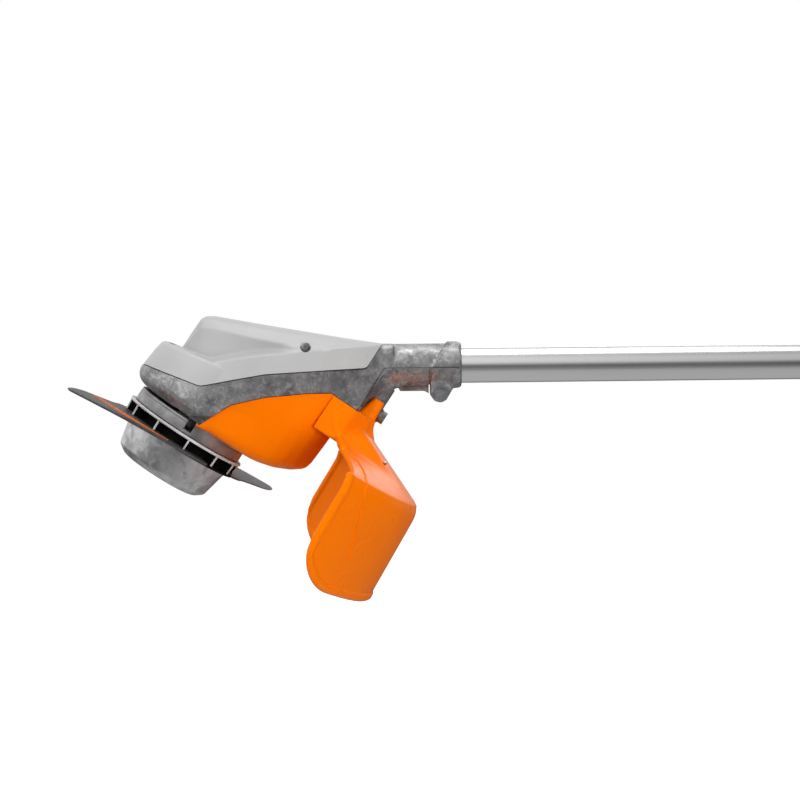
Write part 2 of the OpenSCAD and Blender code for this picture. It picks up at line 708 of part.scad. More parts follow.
module handle_body() difference() {
    intersection() {
        side(100) polygon(handle_outline);
        handle_plan(0);
    }
    along_x(handle_x - 10, tube_end, tube_r);
    along_x(tube_end - 1, tube_end + 7, 4.3);
    // bores for the pins of the trigger and of the lockout lever
    for (p = [trigger_pivot, lockout_pivot]) along_y(p[0], p[1], 2 + run, -14.2, 14.2);
    // trigger room, wiring room, switch room and lockout room
    block([handle_x + 64, -8.3, -40], [handle_x + 124, 8.3, -2.9]);
    block([tube_end - 1, -13, -3], [body_x - 8, 13, 14]);
    block([handle_x + 124.5, -9, -15], [handle_x + 150, 9, 14]);
    block([handle_x + 108, -7.3, 0], [handle_x + 172, 7.3, 60]);
    // electronics room in front of the battery bay
    block([body_x - 9, -16, -22], [body_x + 6, 16, 22]);
    block([body_x + 5, -34, -50], [bay_x - 3, 34, 36]);
    block([bay_x - 4, -20.3, -30.3], [bay_x + 1, 20.3, 10.3]);
    // hollow between the bay and the roof, round a post for the screw
    difference() {
        block([bay_x + 3, -34, bay_high + 5], [rear_x - 38, 34, 46]);
        along_y(body_x + 75, 40, 5.5, -40, 40);
    }
    // battery bay, open to the rear
    block([bay_x, -bay_half - 0.6, bay_low - 0.6], [rear_x + 20, bay_half + 0.6, bay_high + 0.6]);
    // wells for the latch, the power button and the status lens
    block([rear_x - 54, -10.3, bay_high], [rear_x + 20, 10.3, 80]);
    translate([body_x + 54, 0, bay_high + 6]) cylinder(r = 9.3, h = 60, $fn = fine);
    block([body_x + 70, -16, 50], [body_x + 84, 16, 80]);
    for (p = handle_screw_points) {
        along_y(p[0], p[1], 2.05, -24, 60);
        along_y(p[0], p[1], 4, handle_half(p[0]) - 5, 60);
    }
}

module handle_left_shell() color("dimgray") difference() {
    handle_body();
    block([handle_x - 20, -0.1, -100], [rear_x + 40, 100, 100]);
}

module handle_right_shell() color("dimgray") difference() {
    handle_body();
    block([handle_x - 20, -100, -100], [rear_x + 40, 0.1, 100]);
}

module handle_screws() color("silver") for (p = handle_screw_points)
    translate([p[0], handle_half(p[0]) - 5 + gap, p[1]]) rotate([-90, 0, 0])
        cap_screw(4, handle_half(p[0]) + 8);

module grip_pads() color("black") for (s = [-1, 1]) intersection() {
    side(60) polygon([[handle_x + 128, 16], [handle_x + 122, 19], [handle_x + 32, 16.5],
        [handle_x + 27, 12], [handle_x + 27, -12], [handle_x + 32, -16],
        [handle_x + 122, -21], [handle_x + 128, -17]]);
    block([handle_x, s > 0 ? grip_half + 1.5 + gap : -grip_half - 4, -40],
        [body_x - 30, s > 0 ? grip_half + 4 : -grip_half - 1.5 - gap, 40]);
}

module tube_ferrule() color("black") difference() {
    translate([handle_x - 14, 0, 0]) rotate([0, 90, 0])
        cylinder(r1 = 15.5, r2 = 18.8, h = 35.7, $fn = fine);
    along_x(handle_x - 30, handle_x + 60, tube_r);
}

trigger_pivot = [handle_x + 70, -12];

module trigger() color("darkorange") difference() {
    side(16) polygon(concat(
        [[handle_x + 66, -8], [handle_x + 66, -24]],
        [for (i = [0:8]) let (t = i / 8) [handle_x + 70 + 44 * t,
            -27 - 12 * sin(180 * pow(t, 1.5)) - 4 * t]],
        [[handle_x + 119, -28], [handle_x + 119, -17], [handle_x + 90, -8]]));
    along_y(trigger_pivot[0], trigger_pivot[1], 2 + run, -20, 20);
}

module trigger_pin() color("silver") along_y(trigger_pivot[0], trigger_pivot[1], 2, -14, 14);

lockout_pivot = [handle_x + 166, 17];

module lockout_lever() color("black") difference() {
    side(14) polygon([[handle_x + 170, 20.5], [handle_x + 164, 26.5], [handle_x + 140, 31],
        [handle_x + 120, 30.4], [handle_x + 112, 26.5], [handle_x + 112, 21.5],
        [handle_x + 130, 22], [handle_x + 150, 15.4], [handle_x + 168, 13.4]]);
    along_y(lockout_pivot[0], lockout_pivot[1], 2 + run, -20, 20);
}

module lockout_pin() color("silver") along_y(lockout_pivot[0], lockout_pivot[1], 2, -14, 14);

module trigger_switch() color("black") block([handle_x + 126, -8, -9], [handle_x + 146, 8, 9]);

module control_board() color("green") {
    block([body_x + 8, -30, -46], [body_x + 9.6, 30, 33]);
    for (y = [-20, 0, 20]) block([body_x + 9.7, y - 6, -30], [body_x + 16, y + 6, -14]);
    for (y = [-12, 12]) translate([body_x + 9.7, y, 12]) rotate([0, 90, 0])
        cylinder(r = 5, h = 12, $fn = 32);
}

module contact_block() color("black") {
    block([bay_x - 2.6, -20, -30], [bay_x - 0.4, 20, 10]);
    for (y = [-12, -4, 4, 12]) block([bay_x - 0.4, y - 0.6, -20], [bay_x + 8, y + 0.6, 0]);
}

battery_x = bay_x + 1;
cap_x = rear_x + 6;

cell_r = 9.2;

module battery() color("dimgray") difference() {
    block([battery_x, -bay_half, bay_low], [cap_x - 0.1, bay_half, bay_high]);
    // slots for the contact blades
    for (y = [-12, -4, 4, 12]) block([battery_x - 1, y - 1.4, -22], [battery_x + 10, y + 1.4, 2]);
    // room for the cells
    block([battery_x + 12, -bay_half + 3, bay_low + 3], [cap_x + 1, bay_half - 3, bay_high - 6]);
    // catch for the latch
    block([rear_x - 52, -8, bay_high - 3], [rear_x - 43, 8, bay_high + 1]);
}

module battery_cap() color("darkorange") side(2 * bay_half + 8) polygon([
    [cap_x, bay_low - 4], [cap_x + 14, bay_low - 2], [cap_x + 20, bay_low + 6],
    [cap_x + 20, bay_high - 6], [cap_x + 12, bay_high + 3], [cap_x, bay_high + 4]]);

module battery_cells() color("steelblue") for (y = [-20, 0, 20], row = [0:2])
    translate([battery_x + 16, y, bay_low + 12.6 + row * 21.3]) rotate([0, 90, 0])
        cylinder(r = cell_r, h = 65, $fn = 48);

latch_pivot = [rear_x - 26, 41];

module battery_latch() color("darkorange") difference() {
    side(20) polygon([[rear_x - 50, bay_high + gap], [rear_x - 46, bay_high + gap],
        [rear_x - 45, 36], [rear_x - 8, 40], [rear_x - 5, 44], [rear_x - 5, 53], [rear_x - 8, 55],
        [rear_x - 20, 55], [rear_x - 24, 47], [rear_x - 50, 46]]);
    along_y(latch_pivot[0], latch_pivot[1], 2 + run, -20, 20);
    for (s = [-1, 1]) block([rear_x - 53, s > 0 ? 7.4 : -12, 20],
        [rear_x - 43, s > 0 ? 12 : -7.4, 30]);
}

module latch_pin() color("silver") along_y(latch_pivot[0], latch_pivot[1], 2, -10.2, 10.2);

module power_button() color("black") translate([body_x + 54, 0, 40])
    cylinder(r = 9, h = 16, $fn = fine);

module status_lens() color("white") block([body_x + 70.3, -15.7, 50.3], [body_x + 83.7, 15.7, 55.8]);

place() housing_casting();
place() top_cover();
place() motor_cover();
place() neck_lower_half();
place() cover_screws();
place() clamp_screw();
place() clamp_nut();
place() neck_screws();
place() motor_stator();
place() stator_windings();
place() motor_end_cap();
place() motor_bearings();
place() bridge_plate();
place() bridge_screws();
place() motor_rotor();
place() motor_pinion();
place() cooling_fan();
place() spindle();
place() spindle_gear();
place() spindle_bearings();
place() spindle_seal();
place() thrust_drum();
place() cutter();
place() rider_plate();
place() collar_nut();
place() guard();
place() guard_screw();
place() shaft_tube();
place() motor_cable();
place() cable_connector();
place() loop_clamp_upper();
place() loop_clamp_lower();
place() loop_clamp_cap();
place() loop_bolts();
place() loop_nuts();
place() loop_frame();
place() loop_grip();
place() eye_clamp();
place() eye_clamp_screw();
place() handle_left_shell();
place() handle_right_shell();
place() handle_screws();
place() grip_pads();
place() tube_ferrule();
place() trigger();
place() trigger_pin();
place() lockout_lever();
place() lockout_pin();
place() trigger_switch();
place() control_board();
place() contact_block();
place() battery();
place() battery_cap();
place() battery_cells();
place() battery_latch();
place() latch_pin();
place() power_button();
place() status_lens();
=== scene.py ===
"""Battery grass trimmer: the visible model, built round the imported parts.

Shapes are worked out in millimetres in the shaft's own frame: x = 0 at the rear face of
the shaft clamp, z = 0 on the shaft axis.  metres() turns that into the part's frame.
The cutting tool has its own frame: u to the rear in the cutting plane, v across, and n
along the spindle, away from the ground.
"""

import math

import bmesh
import bpy
from mathutils import Matrix, Vector


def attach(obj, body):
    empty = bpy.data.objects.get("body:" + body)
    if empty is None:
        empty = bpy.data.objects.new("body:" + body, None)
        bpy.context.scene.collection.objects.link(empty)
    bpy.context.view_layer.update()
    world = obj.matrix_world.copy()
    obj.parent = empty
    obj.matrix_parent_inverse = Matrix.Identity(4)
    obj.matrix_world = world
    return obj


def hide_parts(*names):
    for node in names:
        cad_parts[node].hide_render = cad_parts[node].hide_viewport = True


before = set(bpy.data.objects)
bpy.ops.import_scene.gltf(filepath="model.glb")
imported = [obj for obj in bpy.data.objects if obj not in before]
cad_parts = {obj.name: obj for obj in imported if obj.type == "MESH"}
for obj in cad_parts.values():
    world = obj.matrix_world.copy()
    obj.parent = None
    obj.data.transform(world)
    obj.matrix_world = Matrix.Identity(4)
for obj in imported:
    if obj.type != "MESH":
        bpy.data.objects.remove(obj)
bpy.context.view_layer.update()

EYE_X, EYE_Z = 840.0, 31.0
TILT = math.radians(33.6)
COS, SIN = math.cos(TILT), math.sin(TILT)
TOOL_X, TOOL_Z = -196.3, -44.3
MOTOR_U = 52.5
TUBE_R = 13.0
SPINDLE_R = 6.05
GEAR_ROOM_R = 44.6
LOOP_X = 700
NECK_R = 15.3
VOXEL = 0.7
TAU = 2 * math.pi


# ---- frames and curves

def metres(p):
    return Vector(((p[0] - EYE_X) / 1000, p[1] / 1000, (p[2] - EYE_Z) / 1000))


def from_tool(u, v, n):
    return (TOOL_X + u * COS + n * SIN, v, TOOL_Z - u * SIN + n * COS)


def curve_of(knots, soft=0.0):
    """A function through the knots, straight between them and eased over +-soft."""
    def straight(x):
        if x <= knots[0][0]:
            return knots[0][1]
        for (xa, a), (xb, b) in zip(knots, knots[1:]):
            if x <= xb:
                return a + (b - a) * (x - xa) / (xb - xa)
        return knots[-1][1]

    def eased(x):
        if not soft:
            return straight(x)
        return sum(straight(x + soft * k / 4) for k in range(-4, 5)) / 9
    return eased


def steps(a, b, size):
    count = max(1, round(abs(b - a) / size))
    return [a + (b - a) * i / count for i in range(count + 1)]


def fillet(points, segments=5, closed=False):
    """Rounds a polyline.  Each point is (a, b, radius); every corner gives the same
    number of points, so that neighbouring sections can be joined up."""
    out = []
    last = len(points) - 1
    for i, (a, b, r) in enumerate(points):
        if not closed and i in (0, last):
            out.append((a, b))
            continue
        p = Vector((a, b))
        before = Vector(points[i - 1][:2]) - p
        after = Vector(points[(i + 1) % len(points)][:2]) - p
        la, lb = before.length, after.length
        if la < 1e-6 or lb < 1e-6 or r <= 0:
            out += [(a, b)] * (segments + 1)
            continue
        before /= la
        after /= lb
        half = math.acos(max(-1, min(1, before.dot(after)))) / 2
        if half > math.pi / 2 - 0.01 or half < 0.02:
            out += [(a, b)] * (segments + 1)
            continue
        cut = min(r / math.tan(half), 0.48 * la, 0.48 * lb)
        start, end = p + before * cut, p + after * cut
        pull = math.sin(half)
        for k in range(segments + 1):
            t = k / segments
            a0, a1, a2 = (1 - t) ** 2, 2 * t * (1 - t) * pull, t ** 2
            q = (start * a0 + p * a1 + end * a2) / (a0 + a1 + a2)
            out.append((q.x, q.y))
    return out


# ---- meshes

def link(mesh, name):
    obj = bpy.data.objects.new(name, mesh)
    bpy.context.scene.collection.objects.link(obj)
    return obj


def build(name, points, faces, outward=True):
    """A mesh object from points in millimetres."""
    bm = bmesh.new()
    verts = [bm.verts.new(metres(p)) for p in points]
    for face in faces:
        ids = [i for k, i in enumerate(face) if i != face[k - 1]]
        if len(set(ids)) < 3:
            continue
        try:
            bm.faces.new([verts[i] for i in ids])
        except ValueError:
            pass
    bmesh.ops.remove_doubles(bm, verts=bm.verts, dist=1e-6)
    bmesh.ops.dissolve_degenerate(bm, edges=bm.edges, dist=1e-7)
    if outward:
        bmesh.ops.recalc_face_normals(bm, faces=bm.faces)
    mesh = bpy.data.meshes.new(name)
    bm.to_mesh(mesh)
    bm.free()
    return link(mesh, name)


def loft(name, rings):
    """A closed solid through rings of equal point count, capped at both ends."""
    n = len(rings[0])
    points = [p for ring in rings for p in ring]
    faces = []
    for i in range(len(rings) - 1):
        for j in range(n):
            k = (j + 1) % n
            faces.append((i * n + j, i * n + k, (i + 1) * n + k, (i + 1) * n + j))
    faces.append(tuple(range(n))[::-1])
    faces.append(tuple((len(rings) - 1) * n + j for j in range(n)))
    return build(name, points, faces)


def wrapped(name, rings):
    """A closed skin through rings that join up in both directions."""
    m, n = len(rings), len(rings[0])
    return build(name, [p for ring in rings for p in ring],
                 [(i * n + j, i * n + (j + 1) % n, (i + 1) % m * n + (j + 1) % n, (i + 1) % m * n + j)
                  for i in range(m) for j in range(n)])


def revolve(name, profile, place=from_tool, centre=(0, 0), segments=96):
    """Turns a closed (radius, height) profile about the local third axis."""
    rings = []
    for i in range(segments):
        a = TAU * i / segments
        rings.append([place(centre[0] + r * math.cos(a), centre[1] + r * math.sin(a), h)
                      for r, h in profile])
    return wrapped(name, rings)


def rod(name, r, n0, n1, u=0.0, v=0.0, segments=64):
    return revolve(name, [(0, n0), (r, n0), (r, n1), (0, n1)], centre=(u, v),
                   segments=segments)


def along_x(x, y, z):
    """Places a profile turned about the shaft: the third local value runs along x."""
    return (z, x, y)


def shaft_rod(name, r, x0, x1, segments=96):
    return cylinder(name, r, x0, x1, along_x, segments)


def prism(name, outline, y0=-90.0, y1=90.0):
    """An outline in x and z, extruded across the shaft."""
    return loft(name, [[(x, y, z) for x, z in outline] for y in (y0, y1)])


def block(name, low, high, place=lambda *p: p):
    (a, b, c), (d, e, f) = low, high
    return loft(name, [[place(x, y, z) for x, y in ((a, b), (d, b), (d, e), (a, e))]
                       for z in (c, f)])


def tube_along(name, path, radius, sides=10):
    """A round bead along a path of points; radius may be a function of 0..1."""
    rings = []
    pts = [Vector(p) for p in path]
    for i, p in enumerate(pts):
        d = (pts[min(i + 1, len(pts) - 1)] - pts[max(i - 1, 0)]).normalized()
        side = d.cross(Vector((0.13, 0.31, 0.94)))
        if side.length < 0.1:
            side = d.cross(Vector((1, 0, 0)))
        side.normalize()
        up = d.cross(side)
        r = radius(i / (len(pts) - 1)) if callable(radius) else radius
        rings.append([tuple(p + (side * math.cos(TAU * k / sides)
                                 + up * math.sin(TAU * k / sides)) * r)
                      for k in range(sides)])
    return loft(name, rings)


def join(name, *objs):
    bm = bmesh.new()
    mats = []
    for o in objs:
        offset = len(mats)
        for m in o.data.materials:
            mats.append(m)
        first = len(bm.faces)
        bm.from_mesh(o.data)
        bm.faces.ensure_lookup_table()
        for f in bm.faces[first:]:
            f.material_index += offset
        bpy.data.objects.remove(o)
    mesh = bpy.data.meshes.new(name)
    bm.to_mesh(mesh)
    bm.free()
    for m in mats:
        mesh.materials.append(m)
    return link(mesh, name)


def applied(obj):
    """Replaces an object's mesh by what its modifiers make of it."""
    deps = bpy.context.evaluated_depsgraph_get()
    mesh = bpy.data.meshes.new_from_object(obj.evaluated_get(deps))
    obj.modifiers.clear()
    obj.data = mesh
    return obj


def melt(obj, voxel=VOXEL, rounds=6):
    """Unites overlapping solids into one skin with soft fillets, as a casting has."""
    remesh = obj.modifiers.new("unite", "REMESH")
    remesh.mode = "VOXEL"
    remesh.voxel_size = voxel / 1000
    remesh.adaptivity = 0
    soften = obj.modifiers.new("soften", "SMOOTH")
    soften.factor = 0.5
    soften.iterations = max(1, round(rounds * (0.7 / voxel) ** 2))
    return applied(obj)


def boolean(obj, cutter, operation="DIFFERENCE"):
    mod = obj.modifiers.new("cut", "BOOLEAN")
    mod.operation = operation
    mod.object = cutter
    mod.solver = "EXACT"
    count = len(obj.data.vertices)
    try:
        mod.solver = "MANIFOLD"
    except TypeError:
        pass
    applied(obj)
    if not len(obj.data.vertices) and count:
        raise RuntimeError(obj.name + ": boolean with " + cutter.name + " left nothing")
    bpy.data.objects.remove(cutter)
    return obj


def cylinder(name, r, low, high, place, segments=32):
    return revolve(name, [(0, low), (r, low), (r, high), (0, high)], place=place, segments=segments)


def bore(obj, r, low, high, place, segments=32):
    boolean(obj, cylinder("bore", r, low, high, place, segments))


def crosswise(x, z, side=1):
    """Places a turned profile on an axis across the shaft."""
    return lambda a, b, h: (x + a, side * h, z + b)


def copy_of(obj, name):
    return link(obj.data.copy(), name)


def finish_piece(obj, body, material, replaced=(), angle=32.0, bevel=0.0):
    """Smooth shading, material, and the piece's place in the frame."""
    if bevel:
        mod = obj.modifiers.new("edge", "BEVEL")
        mod.width = bevel / 1000
        mod.segments = 2
        mod.limit_method = "ANGLE"
        mod.angle_limit = math.radians(38)
        applied(obj)
    mesh = obj.data
    if not any(mesh.materials):
        mesh.materials.clear()
        mesh.materials.append(material)
    mesh.shade_smooth()
    bm = bmesh.new()
    bm.from_mesh(mesh)
    limit = math.radians(angle)
    for e in bm.edges:
        e.smooth = len(e.link_faces) == 2 and e.calc_face_angle(0) < limit
    bm.to_mesh(mesh)
    bm.free()
    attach(obj, body)
    if replaced:
        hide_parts(*replaced)
    return obj


def softened(node, body, kind, voxel=0.5, rounds=4, name=None, angle=40):
    """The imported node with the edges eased, as moulding leaves them."""
    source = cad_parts[node]
    obj = link(source.data.copy(), name or node + "_moulded")
    obj.matrix_world = source.matrix_world.copy()
    obj.data.transform(source.matrix_world)
    obj.matrix_world = Matrix.Identity(4)
    obj.data.materials.clear()
    melt(obj, voxel * (1), rounds)
    return finish_piece(obj, body, M[kind], [node], angle=angle)


def closed_tube(name, path, radius, sides=32):
    """A round bar along a closed path that lies in a plane across the shaft."""
    pts = [Vector(p) for p in path]
    n = len(pts)
    rings = []
    for i, p in enumerate(pts):
        d = (pts[(i + 1) % n] - pts[i - 1]).normalized()
        out = Vector((1, 0, 0))
        side = d.cross(out)
        r = radius(i) if callable(radius) else radius
        rings.append([tuple(p + (out * math.cos(TAU * k / sides)
                                 + side * math.sin(TAU * k / sides)) * r)
                      for k in range(sides)])
    return wrapped(name, rings)


# ---- materials

def material(name, base, dark, metallic=0.0, rough=(0.35, 0.5), mottle=60, mottle_mix=0.5, grain=900,
             bump=0.35, bump_dist=0.0002, coat=0.0, streak=None, smudge=None, specular=0.5, tint=None):
    """Colour variation from a coarse noise, roughness and bump from finer ones."""
    mat = bpy.data.materials.new(name)
    mat.use_nodes = True
    nodes, links = mat.node_tree.nodes, mat.node_tree.links
    shader = nodes["Principled BSDF"]
    where = nodes.new("ShaderNodeTexCoord")
    vector = where.outputs["Object"]
    if streak:
        stretch = nodes.new("ShaderNodeMapping")
        stretch.inputs["Scale"].default_value = streak
        links.new(vector, stretch.inputs["Vector"])
        vector = stretch.outputs["Vector"]

    def noise(scale, detail=4.0, roughness=0.6, distortion=0.0):
        tex = nodes.new("ShaderNodeTexNoise")
        tex.inputs["Scale"].default_value = scale
        tex.inputs["Detail"].default_value = detail
        tex.inputs["Roughness"].default_value = roughness
        tex.inputs["Distortion"].default_value = distortion
        links.new(vector, tex.inputs["Vector"])
        return tex.outputs["Fac"]

    def ramp(source, stops):
        node = nodes.new("ShaderNodeValToRGB")
        elements = node.color_ramp.elements
        while len(elements) < len(stops):
            elements.new(0.5)
        for element, (place, value) in zip(elements, stops):
            element.position = place
            element.color = (*value, 1) if len(value) == 3 else value
        links.new(source, node.inputs["Fac"])
        return node.outputs["Color"]

    low, high = 0.5 - 0.3 * mottle_mix, 0.5 + 0.3 * mottle_mix
    colour = ramp(noise(mottle, 6.0, 0.62, 0.4), [(min(low, 0.42), dark), (max(high, 0.58), base)])
    if smudge:
        scale, tone, amount = smudge
        mask = ramp(noise(scale, 3.0, 0.5, 0.8), [(0.52, (0, 0, 0)), (0.66, (amount,) * 3)])
        mix = nodes.new("ShaderNodeMix")
        mix.data_type = "RGBA"
        links.new(mask, mix.inputs["Factor"])
        links.new(colour, mix.inputs["A"])
        mix.inputs["B"].default_value = (*tone, 1)
        colour = mix.outputs["Result"]
    links.new(colour, shader.inputs["Base Color"])
    shader.inputs["Metallic"].default_value = metallic
    shader.inputs["Specular IOR Level"].default_value = specular
    if tint:
        shader.inputs["Specular Tint"].default_value = (*tint, 1)
    spread = nodes.new("ShaderNodeMapRange")
    spread.inputs["To Min"].default_value = rough[0]
    spread.inputs["To Max"].default_value = rough[1]
    spread.inputs["From Min"].default_value = 0.3
    spread.inputs["From Max"].default_value = 0.7
    links.new(noise(mottle * 2.3, 4.0, 0.6), spread.inputs["Value"])
    links.new(spread.outputs["Result"], shader.inputs["Roughness"])
    if bump:
        node = nodes.new("ShaderNodeBump")
        node.inputs["Strength"].default_value = bump
        node.inputs["Distance"].default_value = bump_dist
        links.new(noise(grain, 3.0, 0.65), node.inputs["Height"])
        links.new(node.outputs["Normal"], shader.inputs["Normal"])
    if coat:
        shader.inputs["Coat Weight"].default_value = coat
        shader.inputs["Coat Roughness"].default_value = 0.06
    return mat


M = {
    "cover": material("cover_grey", (0.42, 0.42, 0.42), (0.39, 0.39, 0.39), rough=(0.42, 0.5),
                      mottle=14, grain=1800, bump=0.06),
    "cast": material("cast_alloy", (0.42, 0.42, 0.425), (0.11, 0.11, 0.115), metallic=0.8,
                     rough=(0.36, 0.55), mottle=95, mottle_mix=0.8, bump=0.6, bump_dist=0.00025,
                     smudge=(300, (0.58, 0.58, 0.59), 0.5)),
    "orange": material("orange_gloss", (0.9, 0.178, 0.0003), (0.87, 0.166, 0.0003), rough=(0.26, 0.34),
                       mottle=18, grain=1500, bump=0.03, specular=0.3, tint=(1.0, 0.42, 0.05)),
    "tube": material("drawn_tube", (0.8, 0.8, 0.805), (0.72, 0.72, 0.725), metallic=1.0,
                     rough=(0.2, 0.28), grain=500, bump=0.12, bump_dist=0.00005, streak=(0.04, 1, 1)),
    "turned": material("turned_steel", (0.56, 0.56, 0.57), (0.36, 0.36, 0.37), metallic=1.0,
                       rough=(0.22, 0.36), mottle=50, grain=1300, bump_dist=0.00006),
    "drum": material("drum_steel", (0.38, 0.38, 0.385), (0.18, 0.18, 0.185), metallic=0.7,
                     rough=(0.34, 0.5), mottle=50, grain=1300, bump_dist=0.00006),
    "rider": material("worn_plate", (0.8, 0.8, 0.81), (0.42, 0.42, 0.43), metallic=1.0,
                      rough=(0.3, 0.5), mottle=90, mottle_mix=0.9, grain=1200, bump=0.5,
                      bump_dist=0.00012, smudge=(110, (0.25, 0.25, 0.255), 0.55)),
    "steel": material("dull_steel", (0.4, 0.42, 0.44), (0.18, 0.19, 0.2), metallic=1.0,
                      rough=(0.3, 0.5), mottle=160, grain=1500, bump=0.2, bump_dist=0.0001),
    "black": material("black_plastic", (0.022, 0.022, 0.024), (0.012, 0.012, 0.014), rough=(0.4, 0.55),
                      mottle=80, grain=1600, bump=0.25, bump_dist=0.0001),
    # pockets and rib sides: a deeper black than the plastic elsewhere, painted shade
    "painted_pocket_shade": material("black_painted_shade", (0.006, 0.006, 0.006), (0.003, 0.003, 0.003), rough=(0.6, 0.75),
                       mottle=80, grain=1600, bump=0.25, bump_dist=0.0001, specular=0.06),
    "wing": material("wing_plastic", (0.075, 0.075, 0.077), (0.03, 0.03, 0.031), rough=(0.42, 0.6),
                     mottle=160, mottle_mix=0.8, grain=1100, bump=0.4, bump_dist=0.00012, specular=0.3),
    # light grey on the black ring's rim and rib tips: a painted highlight
    "edge": material("edge_painted_highlight", (0.6, 0.6, 0.605), (0.42, 0.42, 0.425), mottle=120, grain=1500,
                     bump=0.2, bump_dist=0.0001),
    "print": material("orange_print", (0.95, 0.19, 0.015), (0.45, 0.09, 0.012), rough=(0.5, 0.65),
                      mottle=700, mottle_mix=0.9, grain=1500, bump=0.2),
    "shell": material("handle_grey", (0.1, 0.1, 0.105), (0.075, 0.075, 0.08), rough=(0.42, 0.55),
                      mottle=40, grain=1800, bump_dist=0.0001),
    "rubber": material("soft_grip", (0.022, 0.022, 0.023), (0.012, 0.012, 0.013), rough=(0.62, 0.78),
                       grain=700, bump=0.5),
    "copper": material("winding_copper", (0.55, 0.22, 0.09), (0.36, 0.13, 0.05), metallic=0.9,
                       rough=(0.25, 0.4), mottle=400, grain=1500, bump=0.4),
    "core": material("core_sheet", (0.2, 0.2, 0.22), (0.1, 0.1, 0.11), metallic=0.9, mottle=300,
                     grain=1500, bump=0.4),
    "gear": material("gear_steel", (0.48, 0.45, 0.4), (0.3, 0.28, 0.25), metallic=1.0,
                     rough=(0.2, 0.36), mottle=120, bump=0.15, bump_dist=0.0001),
    "board": material("circuit_green", (0.03, 0.16, 0.06), (0.02, 0.1, 0.04), rough=(0.3, 0.45),
                      mottle=200, bump=0.3),
    "cell": material("cell_sleeve", (0.06, 0.16, 0.36), (0.04, 0.11, 0.27), rough=(0.2, 0.3), bump=0.1),
    "nylon": material("white_nylon", (0.7, 0.7, 0.66), (0.6, 0.6, 0.57), bump=0.1),
    "lens": material("milky_lens", (0.62, 0.65, 0.66), (0.5, 0.53, 0.55), rough=(0.12, 0.2), mottle=40,
                     bump=0.05, coat=0.5),
}
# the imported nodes' materials; those that a finer piece replaces are listed as well
CARRIED = {
    "turned": "cover_screws motor_bearings spindle spindle_bearings loop_bolts loop_nuts "
              "trigger_pin lockout_pin latch_pin",
    "steel": "clamp_screw clamp_nut neck_screws bridge_screws collar_nut guard_screw "
             "eye_clamp_screw handle_screws",
    "core": "motor_stator motor_rotor",
    "copper": "stator_windings",
    "cast": "motor_end_cap bridge_plate housing_casting neck_lower_half",
    "gear": "motor_pinion spindle_gear",
    "black": "cooling_fan loop_clamp_upper loop_clamp_lower loop_clamp_cap tube_ferrule "
             "lockout_lever trigger_switch contact_block power_button",
    "rubber": "spindle_seal motor_cable loop_grip grip_pads",
    "nylon": "cable_connector",
    "shell": "loop_frame handle_left_shell handle_right_shell battery",
    "tube": "eye_clamp shaft_tube",
    "orange": "trigger battery_cap battery_latch motor_cover guard",
    "board": "control_board",
    "cell": "battery_cells",
    "lens": "status_lens",
    "cover": "top_cover",
    "drum": "thrust_drum",
    "wing": "cutter",
    "rider": "rider_plate",
}
for kind, nodes in CARRIED.items():
    for node in nodes.split():
        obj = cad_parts[node]
        if not len(obj.material_slots):
            obj.data.materials.append(M[kind])
        for place in obj.material_slots:
            place.material = M[kind]

# ---- head: shared curves

SEAM = [(-240, 8.9, 0), (-226.5, 3.5, 2), (-204, -5, 12), (-181, -13.9, 9), (-137, -6.4, 60),
        (-95, -4, 60), (-67.6, -2.4, 4), (-56.3, 15.2, 1), (-48, 28.5, 0)]
MOTOR_SEAM = [(-181.5, -40.5, 0), (-161, -27.1, 14), (-137, -22, 40), (-107.3, -19.5, 40),
              (-92, -19.6, 3), (-74, -31.7, 0)]
BODY_W = [(-190, 46.3), (-184, 48.4), (-176, 49.8), (-165, 49.9), (-150, 48.4), (-137, 46.2),
          (-119, 42.2), (-105, 38.6), (-95.5, 35.6)]
COVER_W = BODY_W + [(-94.6, 36.2), (-80, 30.6), (-68, 24.6), (-56, 17.2), (-48, 14)]
CAST_W = BODY_W + [(-92.5, 34.0), (-86, 28.6), (-80, 24.4), (-72, 20.0), (-64, 17.2), (-56, 15.6),
                   (-48, 15.2)]


def sections(xs, rows, segments=4):
    """Rings in y and z at each x: rows give half width, height and corner radius."""
    rings = []
    for x in xs:
        half = [(w(x), z(x), r(x) if callable(r) else r) for w, z, r in rows]
        right = fillet(half, segments)
        ring = [(x, y, z) for y, z in right] + [(x, -y, z) for y, z in right[::-1]]
        rings.append(ring)
    return rings


def const(value):
    return lambda x: value


# ---- top cover

def gear_cap(name, base_n, radii, top_n, slope, round_r):
    """Round cap about the spindle whose flat top leans by slope."""
    rings = []
    for i in range(96):
        a = TAU * i / 96
        edge_r = radii(top_n)
        edge_n = top_n + slope * edge_r * math.cos(a)
        edge_r = radii(edge_n)
        ring = [(0, base_n), (radii(base_n), base_n)]
        rise = edge_n - round_r - base_n
        ring += [(radii(base_n + rise * t / 8), base_n + rise * t / 8) for t in range(1, 8)]
        for k in range(7):
            f = math.pi / 2 * k / 6
            ring.append((edge_r - round_r * (1 - math.cos(f)),
                         edge_n - round_r * (1 - math.sin(f))))
        ring.append((0, top_n))
        rings.append([from_tool(r * math.cos(a), r * math.sin(a), h) for r, h in ring])
    n = len(rings[0])
    points = [p for ring in rings for p in ring]
    faces = []
    for i in range(96):
        b = (i + 1) % 96
        for j in range(n - 1):
            faces.append((i * n + j, i * n + j + 1, b * n + j + 1, b * n + j))
    return build(name, points, faces)


